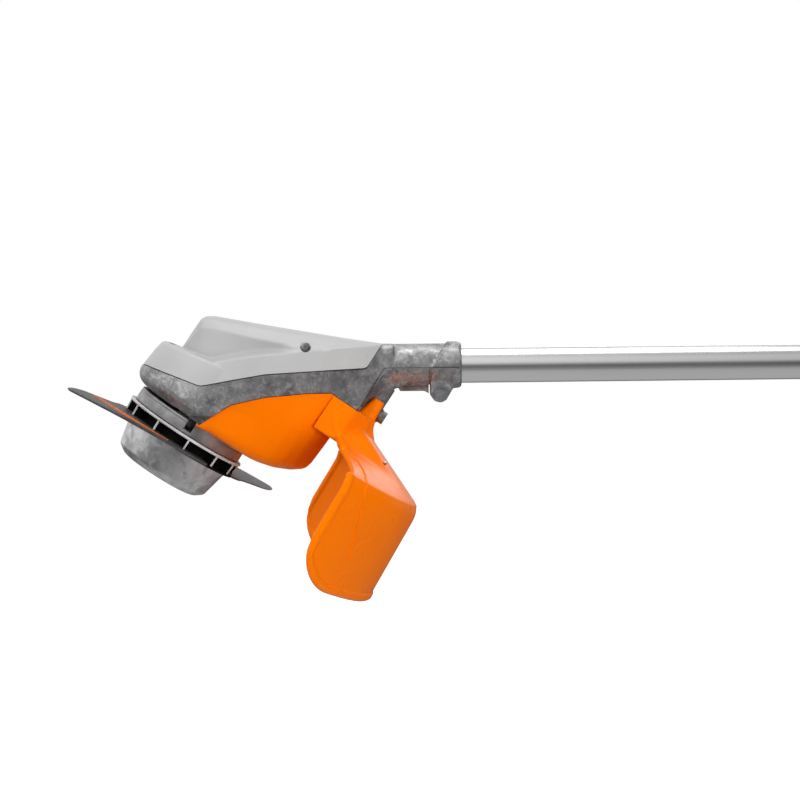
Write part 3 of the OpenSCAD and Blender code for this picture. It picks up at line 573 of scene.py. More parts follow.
roof = curve_of([(-197.5, 15.7), (-182.4, 36.6), (-175.8, 36.6), (-139.9, 29.9), (-83.6, 19.9),
                 (-56.3, 15.6), (-46, 13.6)], 1.4)
cover_side_w = curve_of([(-197.5, 30), (-190, 40), (-182, 46), (-175, 49.2)] + COVER_W[3:], 0.5)
cover_rows = [
    (cover_side_w,
     const(-30), 0),
    (cover_side_w,
     curve_of([(-197, 4), (-180, -13.4), (-137, -6.4), (-95, -4), (-56, -2)], 3), 8),
    (curve_of([(-197.5, 18), (-190, 30), (-182, 37), (-175, 42.5), (-170, 45.3), (-160, 46.2),
               (-150, 45.6), (-137, 43.4), (-119.6, 39.6), (-109, 38.2), (-95.6, 34.9),
               (-94.8, 35.9), (-80, 30.2), (-68, 24), (-56, 16.6), (-48, 13)], 0.4),
     curve_of([(-197.5, 9), (-185, 5), (-172, 2.8), (-155, 5.2), (-137, 7.5), (-119.6, 8.6),
               (-108, 9.6), (-95, 9.6), (-90, 11.6), (-58, 13.9)], 1.5), 1.6),
    (curve_of([(-197.5, 13), (-194, 20), (-190, 25.5), (-184, 29.5), (-175, 33), (-165, 34),
               (-150, 33.5), (-137, 32.5), (-127, 33.5), (-118, 37.4), (-109, 37),
               (-95.6, 34), (-94.8, 34.4), (-80, 28.6), (-68, 22.6), (-56, 15.6), (-48, 12)], 1.0),
     curve_of([(-197.5, 12.5), (-185, 7.8), (-172, 5.0), (-160, 8.2), (-150, 9.6), (-137, 10.6),
               (-125, 10.6), (-118, 10.4), (-108, 11.4), (-95, 11), (-90, 12.3),
               (-58, 14.2)], 2), 2.4),
    (curve_of([(-197.5, 11), (-194, 18), (-190, 23), (-182, 27.6), (-170.5, 31.5), (-155, 34.6),
               (-137.8, 36), (-124, 36.4), (-118, 36.9), (-109, 35.4), (-95, 32),
               (-80, 27), (-68, 21.4), (-56, 14.4), (-48, 11)], 2),
     curve_of([(-197.5, 14.2), (-190, 20), (-182, 27.5), (-170.5, 25.6), (-137.8, 17.4),
               (-124, 14.9), (-118, 12.6), (-108, 13.4), (-95, 13), (-80, 13.6), (-58, 14.5)], 2), 2.2),
    (curve_of([(-197.5, 7), (-194, 14), (-190, 18), (-182, 23), (-170, 26), (-150, 28),
               (-130, 28.5), (-110, 26.5), (-95, 24), (-80, 20), (-68, 15.5), (-56, 9), (-48, 6)], 3),
     lambda x: roof(x) - curve_of([(-197, 1), (-182, 2.2), (-110, 2.4), (-56, 0.9)])(x), 11),
    (const(0), roof, 0),
]
cover = join("cover_solid",
             gear_cap("cap", 8, lambda n: 51.3 - 0.105 * (n - 23) - max(0, 20 - n) * 0.3,
                      53.9, 0.175, 4.2),
             loft("tier", sections(steps(-197.4, -48.5, 1.1), cover_rows)))
melt(cover, rounds=3)
seam_line = fillet(SEAM, 6)
boolean(cover, prism("below", [(x, z + 0.35) for x, z in seam_line] + [(-48, -90), (-240, -90)]))
boolean(cover, rod("gears", GEAR_ROOM_R, 16, 46.5))
screws = []
screw_form = [(0, 27, 0), (1.95, 27, 0.3), (1.95, 35, 0), (3.3, 35, 0.3), (3.3, 36.4, 0.6), (0, 36.7, 0)]
for side in (-1, 1):
    place = crosswise(-109.3, 12.6, side)
    bore(cover, 3.7, 34.9, 60, place, 40)
    screw = revolve("screw", fillet(screw_form, 3), place=place, segments=40)
    bore(screw, 1.5, 35.5, 39, place, 6)
    screws.append(screw)
finish_piece(join("cover_screws_turned", *screws), "trimmer", M["steel"], ["cover_screws"])
cover.name = "top_cover_shell"
finish_piece(cover, "trimmer", M["cover"], ["top_cover"], angle=38)

# ---- casting and clamp

cast_bottom = curve_of([(-190, -60), (-176, -56), (-92, -40), (-76, -33), (-70, -26.5),
                        (-64, -21.5), (-57, -17), (-48, -15.3)], 1)
cast_top = curve_of([(-190, 40), (-72, 40), (-64, 24), (-59, 15.4), (-48, 15.2)], 1)
cast_rows = [
    (const(0), cast_top, 0),
    (curve_of(CAST_W, 0.8), cast_top, curve_of([(-80, 1), (-64, 12), (-58, 15), (-48, 15)])),
    (curve_of(CAST_W, 0.8), curve_of([(-190, -10), (-94, -3), (-48, 2)]), 4),
    (curve_of([(x, w * 0.985) for x, w in BODY_W] + [(-93, 34.2), (-90, 32.2), (-85, 29.2), (-80, 26.6),
              (-75, 24), (-69, 20.4), (-62, 17), (-56, 15.5), (-48, 15)], 0.6),
     curve_of([(-190, -38), (-160, -28), (-137, -22), (-92, -19.6), (-74, -30), (-66, -20),
               (-56, -8), (-48, -4)], 1), 3),
    (curve_of([(x, w * 0.96) for x, w in BODY_W] + [(-90, 32), (-84, 31), (-78, 28), (-74, 25),
              (-68, 19), (-62, 13), (-56, 8), (-48, 5)], 1),
     cast_bottom, 5),
    (const(0), cast_bottom, 0),
]
nose = [(0, 11.3), (39, 11.3), (43.6, 11.9), (46.4, 12.9), (48.9, 14.7), (50.7, 17.4), (51.6, 20.5),
        (51.3, 24), (49.4, 41.7), (49, 48), (0, 48)]
collar = [(0, -22), (16.2, -22), (16.6, -21.6), (16.7, -5.5), (16.5, -3), (15.9, -1.4), (14.9, -0.6),
          (0, -0.4)]
upper_collar = revolve("upper", collar, along_x)
boolean(upper_collar, prism("shape", [(-30, -40), (-22.2, -2.4), (-11.6, 15), (-9.6, 20), (-9, 30),
                                      (-60, 30), (-60, -40)]))
lower_collar = revolve("lower", collar, along_x)
boolean(lower_collar, prism("shape", [(-30, -2.2), (6, -2.2), (6, 30), (-30, 30)]))


lug = [(-22.6, -14, 0), (-22.9, -21, 1), (-19.5, -25.8, 3), (-15.2, -27, 3), (-11.6, -25, 3),
       (-3.4, -11, 1), (-4, -8, 0), (-22, -8, 0)]
arch = [(-75, -33, 0), (-72, -31.4, 1), (-66, -24.5, 5), (-57, -18.6, 8), (-47, -16.4, 3), (-40, -14, 0),
        (-44, -4, 0), (-60, -4, 0)]
body = join(
    "body_solid",
    revolve("nose", nose),
    loft("flank", sections(steps(-189, -48.5, 1.1), cast_rows)),
    shaft_rod("pipe", NECK_R, -62, -1.5),
    upper_collar, lower_collar,
    prism("lug", fillet(lug, 4, closed=True), -12, 12),
    prism("fin", [(-46, -13), (-44.5, -18.4), (-27, -18.4), (-20.5, -22), (-20.5, -12)], -1.6, 1.6),
    prism("arch", fillet(arch, 4, closed=True), -9.5, 9.5),
    rod("boss", 7.6, 76, 104, u=101.5),
)
melt(body, rounds=2)
# rooms of the gears, motor, fan and pinion, seats of the bearing and seal, tube and cable way
for tool in (rod("gears", GEAR_ROOM_R, 24, 60), rod("motor", 33, 38, 87, u=MOTOR_U),
             rod("fan", 24, 38, 99, u=MOTOR_U), rod("pinion", 16, 20, 39, u=MOTOR_U),
             rod("bearing", 14, 14, 26), rod("seal", 9, 5, 15),
             shaft_rod("seat", TUBE_R + 0.01, -62, 6), shaft_rod("cable", 6, -92, -60)):
    boolean(body, tool)
boolean(body, prism("cover_side", [(x, z - 0.35) for x, z in seam_line if x < -56.4]
                    + [(-56.1, 15.4), (-40, 15.4), (-40, 60), (-240, 60)]))
motor_line = fillet(MOTOR_SEAM, 5)
boolean(body, prism("motor_side", [(-200, -27), (-181.5, -40.2)]
                    + [(x, z + 0.25) for x, z in motor_line[1:-1]]
                    + [(-74.2, -31.6), (-70, -34.6), (-70, -110), (-200, -110)]))
SPLIT = [(-73.9, -31.9), (-55.3, -2.1), (20, -2.1)]
lower = copy_of(body, "neck_lower_solid")
boolean(body, prism("lower_side", [(x, z + 0.3) for x, z in SPLIT] + [(20, -80), (-73.9, -80)]))
boolean(lower, prism("upper_side", [(-75.5, -34)] + [(x + 0.15, z - 0.3) for x, z in SPLIT]
                     + [(20, 70), (-260, 70), (-260, -34)]))
boolean(lower, block("slit", (-24, -1, -40), (5, 1, -5)))
boolean(lower, revolve("slot", [(13.9, -23.9), (30, -23.9), (30, -23.1), (13.9, -23.1)], along_x))
body.name = "housing_body"
lower.name = "neck_clamp_half"
finish_piece(body, "trimmer", M["cast"], ["housing_casting"], angle=34)
finish_piece(lower, "trimmer", M["cast"], ["neck_lower_half"], angle=34)

# ---- motor cover

belly_n = curve_of([(6, 9.4), (43, 9.2), (50, 9.3), (56, 10.1), (67, 12.8), (77.4, 17.2), (84, 21.6),
                    (87, 25.6), (88.4, 45), (89.2, 80)], 0.8)
seam_w = curve_of([(6, 49.2), (18, 49.4), (23, 48.6), (37, 45.4), (51, 41), (60, 37.4), (73, 33.2),
                   (84, 27), (88.6, 16)], 1)
belly_w = curve_of([(6, 48.5), (23, 46), (37, 42), (52, 37.5), (62, 35.2), (70, 31.8), (78, 25.6),
                    (84, 17), (88, 8), (89.2, 3)], 1)
seam_n = curve_of([(6, 9), (10, 12), (18.7, 31), (23.4, 39), (37, 51), (60, 70), (73, 78), (89, 80)], 2)


def motor_bulge(name, inset):
    rings = []
    for u in steps(7.4 + inset, 89.2 - inset, 1.1):
        low = belly_n(u + inset * (u > 60)) + inset
        at_seam = max(seam_n(u), low + 2)
        middle = max(low + 1, min(seam_n(u), low + 24)) - 0.5
        wide, narrow = seam_w(u) - inset, max(0.6, belly_w(u) - inset)
        half = fillet([(wide, 100, 0), (wide, at_seam, 12), (narrow, middle, 14),
                       (max(0.4, narrow - 1.5), low, 9 - inset), (0, low, 0)], 5)
        rings.append([from_tool(u, v, n) for v, n in half]
                     + [from_tool(u, -v, n) for v, n in half[::-1]])
    return loft(name, rings)


motor = motor_bulge("motor_cover_shell", 0)
melt(motor, rounds=3)
boolean(motor, motor_bulge("room", 2.8))
boolean(motor, prism("casting_side", [(-215, -16), (-181.9, -40.3)]
                     + [(x, z - 0.25) for x, z in motor_line[1:-1]]
                     + [(-73.8, -32.0), (-60, -25), (-60, 60), (-215, 60)]))
boolean(motor, rod("hub", 18, 5, 16))
finish_piece(motor, "trimmer", M["orange"], ["motor_cover"], angle=38)

# ---- drum, cutter, rider plate

drum = revolve("drum_turned", fillet([
    (SPINDLE_R, 0.3, 0), (42.1, 0.3, 0.4), (42.5, 0.8, 0.3), (42.5, 7.4, 0.4), (42.1, 7.9, 0.2),
    (42.3, 8.4, 0.2), (42.2, 9.7, 0.4), (41.0, 9.9, 0.3), (39.2, 9.9, 0.3), (39.2, 2.8, 0.3),
    (12, 2.8, 0.3), (12, 8.4, 0.3),
    (SPINDLE_R, 8.4, 0)], 3), segments=160)
boolean(drum, block("notch", (1.2, -60, 2.6), (7.2, -36, 12), from_tool))
finish_piece(drum, "cutter_set", M["drum"], ["thrust_drum"], bevel=0.25)

plate = revolve("rider_dish", fillet([
    (SPINDLE_R, -11.8, 0), (17, -11.8, 0.5), (17, -34.6, 1.5), (29, -34.9, 4), (33.6, -31, 3),
    (38.3, -11.8, 0.4),
    (39.8, -11.8, 0.4), (38.8, -15, 1), (35.0, -32.4, 4), (29, -36.8, 6), (16, -36.6, 1.2),
    (15.4, -35.6, 0.8), (15.4, -13.4, 0.6), (SPINDLE_R, -13.4, 0)], 4), segments=160)
finish_piece(plate, "cutter_set", M["rider"], ["rider_plate"], angle=40)

RIBS = (-53, -21, 12, 44, 72, 100)


def toward(angle):
    """Angle about the spindle, counted from the side that faces -y towards the rear."""
    return math.radians(angle - 90)


base = revolve("base", fillet([
    (SPINDLE_R, -11.5, 0), (44.9, -11.5, 0.5), (45.2, -10.9, 0.4), (45, -9.8, 0.4), (34.5, -9.7, 1.2),
    (34, -2.6, 1.0), (32.4, -2.4, 0.5), (32.4, -9.4, 1.2), (15, -9.7, 1), (15, -2, 0.6), (SPINDLE_R, -2, 0)],
    3), segments=144)
rim = revolve("rim", fillet([
    (33.6, -1.9, 0.2), (45.2, -1.9, 0.5), (45.6, -1.2, 0.4), (45.4, 0, 0.4), (43.4, 0, 0.3),
    (33.6, -0.4, 0.2), (SPINDLE_R, -0.4, 0), (SPINDLE_R, -1.9, 0)], 3), segments=144)
ribs = []
for turn in (0, 180):
    for angle in RIBS:
        a = toward(angle + turn)

        def place(r, t, n, a=a):
            return from_tool(r * math.cos(a) - t * math.sin(a), r * math.sin(a) + t * math.cos(a), n)
        # rib sides take the painted shade black, the outer strip the painted highlight grey
        for r0, r1, kind in ((33.4, 44.1, "painted_pocket_shade"), (44.1, 45.1, "edge")):
            outline = fillet([(r0, -0.7, 0), (r1 - 0.3, -0.6, 0.3), (r1, 0, 0.3), (r1 - 0.3, 0.6, 0.3),
                              (r0, 0.7, 0)], 3)
            rib = loft("rib", [[place(r - (0.5 if n < -8 else 0), t, n) for r, t in outline]
                               for n in (-10, -8.5, -1.7)])
            rib.data.materials.append(M[kind])
            ribs.append(rib)
# the rim is black plastic; its light grey is a painted highlight
rim.data.materials.append(M["edge"])
# the base's deeper black is painted shade in the pockets
base.data.materials.append(M["painted_pocket_shade"])

# Wing: sections from the root to the tip, each from the trailing edge to the leading edge
# in u and v, with the height of the top over the flat underside at both edges.
WING = [((-30, 20), (20, -16), 2.1, 3.0), ((-44, 8), (28, -36), 2.1, 3.0),
        ((-49.6, -3), (12, -46.8), 2.0, 3.0),
        ((-52, -17), (-6, -58), 1.8, 2.9), ((-56, -31), (-20.6, -67.4), 1.7, 2.6),
        ((-61.4, -47), (-33, -77.3), 1.6, 2.3), ((-66.2, -62), (-45.5, -89.5), 1.5, 2.1),
        ((-69.4, -79), (-55.5, -99.6), 1.4, 1.8), ((-70.6, -95), (-63.2, -107), 1.2, 1.5),
        ((-70.2, -105.4), (-67.4, -110.6), 1.0, 1.2)]


def hermite(a, b, c, d, f):
    return 0.5 * (2 * b + (c - a) * f + (2 * a - 5 * b + 4 * c - d) * f * f
                  + (3 * b - a - 3 * c + d) * f ** 3)


def wing_at(t):
    i = min(int(t), len(WING) - 2)
    f = t - i
    near = [WING[max(0, min(len(WING) - 1, i + d))] for d in (-1, 0, 1, 2)]
    trail = [hermite(*(w[0][k] for w in near), f) for k in (0, 1)]
    lead = [hermite(*(w[1][k] for w in near), f) for k in (0, 1)]
    low = WING[i][2] * (1 - f) + WING[i + 1][2] * f
    high = WING[i][3] * (1 - f) + WING[i + 1][3] * f
    return trail, lead, low, high


def wing_point(t, c):
    """A point on the wing's top, c of the way from the trailing to the leading edge."""
    trail, lead, low, high = wing_at(t)
    u = trail[0] + (lead[0] - trail[0]) * c
    v = trail[1] + (lead[1] - trail[1]) * c
    rise = low + (high - low) * c ** 1.6
    if c in (0, 1):
        rise *= 0.74
    return u, v, -11.5 + rise


def wing(turn):
    rings = []
    for t in [i / 6 for i in range(6 * (len(WING) - 1) + 1)]:
        top = [wing_point(t, k / 10) for k in range(11)]
        under = [(u, v, -11.5 + (0.5 if k in (0, 10) else 0)) for k, (u, v, n) in enumerate(top)]
        rings.append([from_tool(u * turn, v * turn, n) for u, v, n in top + under[::-1]])
    return loft("wing", rings)


def streak(t0, t1, c0, c1, wide):
    """A thin raised printed stroke on the near wing's top, pointed at both ends."""
    upper, lower = [], []
    for k in range(13):
        f = k / 12
        t, c = t0 + (t1 - t0) * f, c0 + (c1 - c0) * f
        half = wide * math.sin(math.pi * min(0.97, max(0.03, f)))
        for side, sign in ((upper, 1), (lower, -1)):
            u, v, n = wing_point(t, c + sign * half)
            side.append((u, v, n))
    rings = []
    for a, b in zip(upper, lower):
        rings.append([from_tool(a[0], a[1], a[2] + 0.14), from_tool(b[0], b[1], b[2] + 0.14),
                      from_tool(b[0], b[1], b[2] - 0.3), from_tool(a[0], a[1], a[2] - 0.3)])
    return loft("print", rings)


wings = join("wings", wing(1), wing(-1))
wings.data.materials.append(M["wing"])

streaks = [(4.9, 2.6, 0.80, 0.93, 0.05), (5.2, 3.0, 0.64, 0.78, 0.05), (5.4, 3.4, 0.49, 0.62, 0.045),
           (5.6, 3.8, 0.35, 0.47, 0.04), (5.8, 4.2, 0.22, 0.33, 0.035), (5.9, 4.6, 0.10, 0.20, 0.03)]
prints = join("prints", *[streak(*row) for row in streaks])
prints.data.materials.append(M["print"])

cutter = join("cutter_moulding", base, rim, *ribs, wings, prints)
finish_piece(cutter, "cutter_set", M["wing"], ["cutter"], bevel=0.0, angle=40)

# ---- guard

NEAR, FAR = -46.6, 53.7
WALL_OUT = 1.4
fan_top = curve_of([(0, 82), (18, 77), (26, 66), (33, 56.5), (40, 53), (60, 50), (100, 47),
                    (140, 44.5)], 3)
guard_front = curve_of([(0, 94), (33, 94.5), (60, 105), (100, 114), (128, 119.5), (150, 122)], 4)


def skirt_r(n):
    """Middle of the skirt's wall: the skirt widens a little downward."""
    return 168.7 + (35.1 - n) * 0.056


def roof_height(u, v):
    cone = 44.0 + 0.43 * (163.2 - math.hypot(u, v))
    side = fan_top(abs(v)) - 1.2
    soft = 2.5
    return -soft * math.log(math.exp(-cone / soft) + math.exp(-side / soft))


def guard_line(a):
    """The guard's wall at one angle, from its front edge over the shoulder to the lip."""
    ca, sa = math.cos(a), math.sin(a)
    r0 = 60.0
    for _ in range(30):
        r0 = guard_front(abs(r0 * sa)) / ca
    knee = skirt_r(35) - 3
    r0 = min(r0, knee - 1)
    line = []
    for k in range(26):
        r = r0 + (knee - r0) * k / 25
        line.append((r, min(roof_height(r * ca, r * sa), 90)))
    n0 = line[-1][1]
    # ease into the skirt
    low_n = n0 - 13
    for k in range(1, 9):
        t = k / 8
        p0, p1, p2 = (knee - 2.5, n0 + 1.0), (skirt_r(n0) + 0.4, n0 - 1.2), (skirt_r(low_n), low_n)
        r = p0[0] * (1 - t) ** 2 + 2 * p1[0] * t * (1 - t) + p2[0] * t * t
        n = p0[1] * (1 - t) ** 2 + 2 * p1[1] * t * (1 - t) + p2[1] * t * t
        if r > line[-1][0] or n < line[-1][1] - 0.2:
            line.append((r, min(n, line[-1][1] - 0.05)))
    while len(line) < 34:
        line.append((line[-1][0], line[-1][1] - 0.05))
    top = line[-1][1]
    along = min(a - math.radians(NEAR), math.radians(FAR) - a) * 170
    bottom = -29.2 - 2.2 * min(1, (a / 0.6) ** 2)
    low = bottom
    if along < 36:
        low = bottom + 30 * (1 - math.sqrt(max(0, 1 - (1 - along / 36) ** 2)))
    for k in range(1, 29):
        n = top + (low - top) * k / 28
        line.append((skirt_r(n), n))
    return line


def wall_at(degrees):
    a = math.radians(degrees)
    return [from_tool(r * math.cos(a), r * math.sin(a), n) for r, n in guard_line(a)]


def grid(name, rows):
    """A sheet through rows of equal point count."""
    m = len(rows[0])
    return build(name, [p for row in rows for p in row],
                 [(i * m + j, i * m + j + 1, (i + 1) * m + j + 1, (i + 1) * m + j)
                  for i in range(len(rows) - 1) for j in range(m - 1)])


WALLS = 140
walls = [wall_at(NEAR + (FAR - NEAR) * i / WALLS) for i in range(WALLS + 1)]
sheet = grid("guard_sheet", walls)


def stem_line(inset, u_rear):
    """Plan of the saddle's wall: near side, round the rear, far side."""
    vw = 33.2 - inset
    half = [(75.3, -vw, 0), (93, -vw, 5), (u_rear - inset, -17, 10), (u_rear - inset, 0, 0)]
    half = fillet(half, 5)
    return half + [(u, -v) for u, v in half[::-1]][1:]


stem_levels = ((51.9, 111.4), (55, 110.8), (60, 110.2), (65, 109.6), (70, 108.9), (74, 108.2),
               (77.9, 107.6))
saddle = grid("saddle", [[from_tool(u, v, n) for u, v in stem_line(1.6, r)] for n, r in stem_levels])
# thicker border along both side edges and the lower lip
BORDER = 1.3
border = [grid("border", [wall_at(NEAR), wall_at(NEAR + BORDER)]),
          grid("border", [wall_at(FAR), wall_at(FAR - BORDER)]),
          grid("hem", [wall[-3:] for wall in walls])]
for wall, depth in [(sheet, 2 * WALL_OUT), (saddle, 3.2)] + [(strip, 5.2) for strip in border]:
    thick = wall.modifiers.new("wall", "SOLIDIFY")
    thick.thickness = depth / 1000
    thick.offset = 0.0
    applied(wall)
    bm = bmesh.new()
    bm.from_mesh(wall.data)
    bmesh.ops.recalc_face_normals(bm, faces=bm.faces)
    bm.to_mesh(wall.data)
    bm.free()

beads = [tube_along("bead", walls[0] + [wall[-1] for wall in walls[1:-1]] + walls[-1][::-1], 1.8),
         tube_along("bead", [wall[0] for wall in walls], 1.9)]
for s in (-1, 1):
    # raised web that runs from the saddle's front down into the fan
    beads.append(tube_along("web", [from_tool(*p) for p in (
        (77.5, s * 31.8, 76), (83, s * 32, 66), (88.5, s * 32, 59), (94.5, s * 33, 55.5),
        (98.5, s * 42, 53.5), (102, s * 52, 51))], lambda t: 1.9 + 0.9 * t))
    beads.append(tube_along("foot", [from_tool(76.9, s * 31.8, 53.6), from_tool(86, s * 31.8, 53.4),
                                     from_tool(93.5, s * 32.5, 54.6)], 1.7))


def upright(name, levels, soft):
    """A block on the saddle: height, front, rear and half width at each level."""
    return loft(name, [[from_tool(u, v, n) for u, v in fillet(
        [(u0, -w, 3), (u1, -w, soft), (u1, w, soft), (u0, w, 3)], 5, closed=True)]
        for n, u0, u1, w in levels])


tower = upright("tower", [(64, 99.5, 117, 16), (67, 99.5, 115.4, 15), (70, 99.5, 112.6, 14),
                          (73, 99.5, 110.8, 13), (80, 99.5, 108.6, 12), (92.3, 99.5, 107.9, 11)], 5)
deck = loft("deck", [[from_tool(u, v, n) for u, v in fillet(
    [(88, -31, 2), (93, -31, 4), (106.6, -17, 8), (106.6, 17, 8), (93, 31, 4), (88, 31, 2)],
    5, closed=True)]
    for n in (74.2, 77.9)])
shoulder = upright("shoulder", [(70, 90, 110, 12), (78.2, 95.2, 108.6, 11.6),
                                (92.3, 99.7, 107.9, 11)], 4)
guard = join("guard_moulding", sheet, saddle, *beads, *border, tower, deck, shoulder)
melt(guard, voxel=0.75, rounds=7)
for tool in (rod("barrel", 37.0, 20, 110, u=MOTOR_U), rod("boss", 8.0, 75, 110, u=101.5),
             block("over", (60, -60, 77.9), (94.6, 60, 120), from_tool),
             block("over", (94, -60, 77.9), (99.6, -12.2, 120), from_tool),
             block("over", (94, 12.2, 77.9), (99.6, 60, 120), from_tool),
             prism("neck_room", [(-80, -28.2), (-74.1, -32.4), (-57, -10), (-40, 4), (-60, 24)])):
    boolean(guard, tool)
hole_x, _, hole_z = from_tool(130.9, 0, 57.6)
bore(guard, 1.3, -70, 70, crosswise(hole_x, hole_z), 20)
# thin raised line from the stem over the shoulder and down the near side: its angle
# about the spindle at each height
rib_angle = curve_of([(-5.3, -33.4), (14, -36.5), (29, -39.0), (38.5, -40.4), (43.6, -39.5), (46.4, -35.5),
                      (47.9, -31.4), (48.8, -27.9)], 0.6)
on_wall = []
for n in steps(48.8, 40, 0.4) + steps(38, -5.3, 2):
    a = math.radians(rib_angle(n))
    wall = guard_line(a)
    k = next(i for i, (_, low) in enumerate(wall) if low < n)
    (ra, na), (rb, nb) = wall[k - 1], wall[k]
    r = ra + (rb - ra) * (na - n) / (na - nb)
    lean = math.pi / 2 * max(0, min(1, (48 - n) / 10))
    out = r + WALL_OUT * math.sin(lean)
    on_wall.append(from_tool(out * math.cos(a), out * math.sin(a), n + WALL_OUT * math.cos(lean)))
raised = melt(tube_along("rib", on_wall, 0.9), voxel=0.3, rounds=1)
guard = join("guard_shell", guard, raised)
guard.data.materials.clear()
finish_piece(guard, "trimmer", M["orange"], ["guard"], angle=40)

# ---- shaft

tube = revolve("shaft_tube_drawn", [(11.5, -61.7), (12.98, -61.7), (12.98, 995), (11.5, 995)],
               along_x, segments=128)
finish_piece(tube, "trimmer", M["tube"], ["shaft_tube"])

# ---- rear handle

grip_top = curve_of([(962, 17.5), (1000, 20.5), (1090, 22), (1112, 27), (1133, 44), (1149, 52), (1225, 56),
                     (1257, 52), (1266, 47), (1275, 45)], 3)
grip_low = curve_of([(962, -17.5), (1002, -22), (1096, -25), (1113, -36), (1129, -58), (1145, -66),
                     (1262, -66), (1275, -59)], 3)
grip_w = curve_of([(962, 17.2), (985, 18.5), (1097, 18.5), (1143, 41), (1265, 41), (1275, 36)], 4)
grip_r = curve_of([(962, 14), (1097, 14), (1143, 11), (1275, 11)], 3)
rings = []
for x in steps(962, 1275, 2):
    top, low, w, r = grip_top(x), grip_low(x), grip_w(x), grip_r(x)
    half = fillet([(0, top, 0), (w, top - 0.4, r), (w, low + 0.4, r), (0, low, 0)], 6)
    rings.append([(x, y, z) for y, z in half] + [(x, -y, z) for y, z in half[::-1]])
shell = loft("shell", rings)
bands = []
for s in (-1, 1):
    # a raised line along the box, low and high
    for zb in (-55, 33):
        bands.append(tube_along("band", [(x, s * (grip_w(x) - 0.3), zb + (x - 1200) * 0.01)
                                         for x in steps(1150, 1268, 6)], 1.2))
shell = join("handle_solid", shell, *bands)
melt(shell, voxel=0.9, rounds=4)
rooms = [shaft_rod("tube", TUBE_R, 900, 995), shaft_rod("cable", 4.3, 994, 1002),
         block("trigger", (1004, -8.3, -40), (1064, 8.3, -2.9)),
         block("wires", (994, -13, -3), (1117, 13, 14)),
         block("switch", (1064.5, -9, -15), (1090, 9, 14)),
         block("lockout", (1048, -7.3, 0), (1112, 7.3, 60)),
         block("way", (1116, -16, -22), (1131, 16, 22)),
         block("boards", (1130, -34, -50), (1157, 34, 36)),
         block("contacts", (1156, -20.3, -30.3), (1161, 20.3, 10.3)),
         block("bay", (1160, -35.6, -50.6), (1290, 35.6, 24.6)),
         block("well", (1216, -10.3, 24), (1290, 10.3, 80)),
         block("lens", (1195, -16, 50), (1209, 16, 80))]
for room in rooms:
    boolean(shell, room)
bore(shell, 9.3, 30, 90, lambda a, b, h: (1179 + a, b, h), 48)
SCREWS = [(1075, -19.7), (1141, 42), (1139, -57), (1200, 40), (1248, -58.3)]
for x, z in SCREWS:
    deep = grip_w(x) - 5
    boolean(shell, revolve("screw", [(0, -24), (2.05, -24), (2.05, deep), (4, deep), (4, 60), (0, 60)],
                           crosswise(x, z), segments=32))
for z in range(-40, 30, 9):
    # cooling slots in both cheeks
    for s in (-1, 1):
        boolean(shell, block("slot", (1143, s * 45 - 15, z), (1155, s * 45 + 15, z + 3)))
for x, z in ((1010, -12), (1106, 17)):
    bore(shell, 2.05, -14.2, 14.2, crosswise(x, z))
other = copy_of(shell, "handle_right_moulded")
boolean(shell, block("right", (940, -0.1, -100), (1300, 100, 100)))
boolean(other, block("left", (940, -100, -100), (1300, 0.1, 100)))
shell.name = "handle_left_moulded"
finish_piece(shell, "trimmer", M["shell"], ["handle_left_shell"], angle=38)
finish_piece(other, "trimmer", M["shell"], ["handle_right_shell"], angle=38)

# grip pads with fine cross ribs
pads = []
for s in (-1, 1):
    pad_rings = []
    for x in steps(967.5, 1067.5, 1.25):
        ends = min(1, (x - 966.5) / 6, (1068.5 - x) / 6)
        wave = 0.45 * math.cos((x - 967.5) * TAU / 5) * (ends >= 1)
        high, low = 13.5 * (0.6 + 0.4 * ends), 16.5 * (0.6 + 0.4 * ends)
        pad_rings.append([(x, s * y, z) for y, z in fillet(
            [(18.9, high, 0), (20.4 + wave, high - 1, 1.5), (20.4 + wave, 1 - low, 1.5),
             (18.9, -low, 0)], 5)])
    pads.append(loft("pad", pad_rings))
pads = join("grip_pads_ribbed", *pads)
finish_piece(pads, "trimmer", M["rubber"], ["grip_pads"], angle=50)

for node, body, kind, fine in (
        ("tube_ferrule", "trimmer", "black", 0.6), ("trigger", "trigger_lever", "orange", 0.45),
        ("lockout_lever", "lockout", "black", 0.4), ("battery", "battery_pack", "shell", 0.9),
        ("battery_cap", "battery_pack", "orange", 0.7), ("battery_latch", "latch", "orange", 0.5),
        ("loop_clamp_upper", "trimmer", "black", 0.6), ("loop_clamp_lower", "trimmer", "black", 0.6),
        ("loop_clamp_cap", "trimmer", "black", 0.6), ("eye_clamp", "trimmer", "tube", 0.5),
        ("power_button", "button", "black", 0.3)):
    softened(node, body, kind, fine)

# loop handle: bent bar and foam sleeve
LOOP_HALF, LOOP_LOW, LOOP_TOP, LOOP_R = 75.0, 30.0, 148.0, 42.0
loop = fillet([(y, z, LOOP_R) for y, z in ((-LOOP_HALF, LOOP_LOW), (LOOP_HALF, LOOP_LOW),
                                          (LOOP_HALF, LOOP_TOP), (-LOOP_HALF, LOOP_TOP))],
              24, closed=True)
bar = closed_tube("loop_bar", [(LOOP_X, y, z) for y, z in loop], 8.48, 48)
finish_piece(bar, "trimmer", M["shell"], ["loop_frame"])

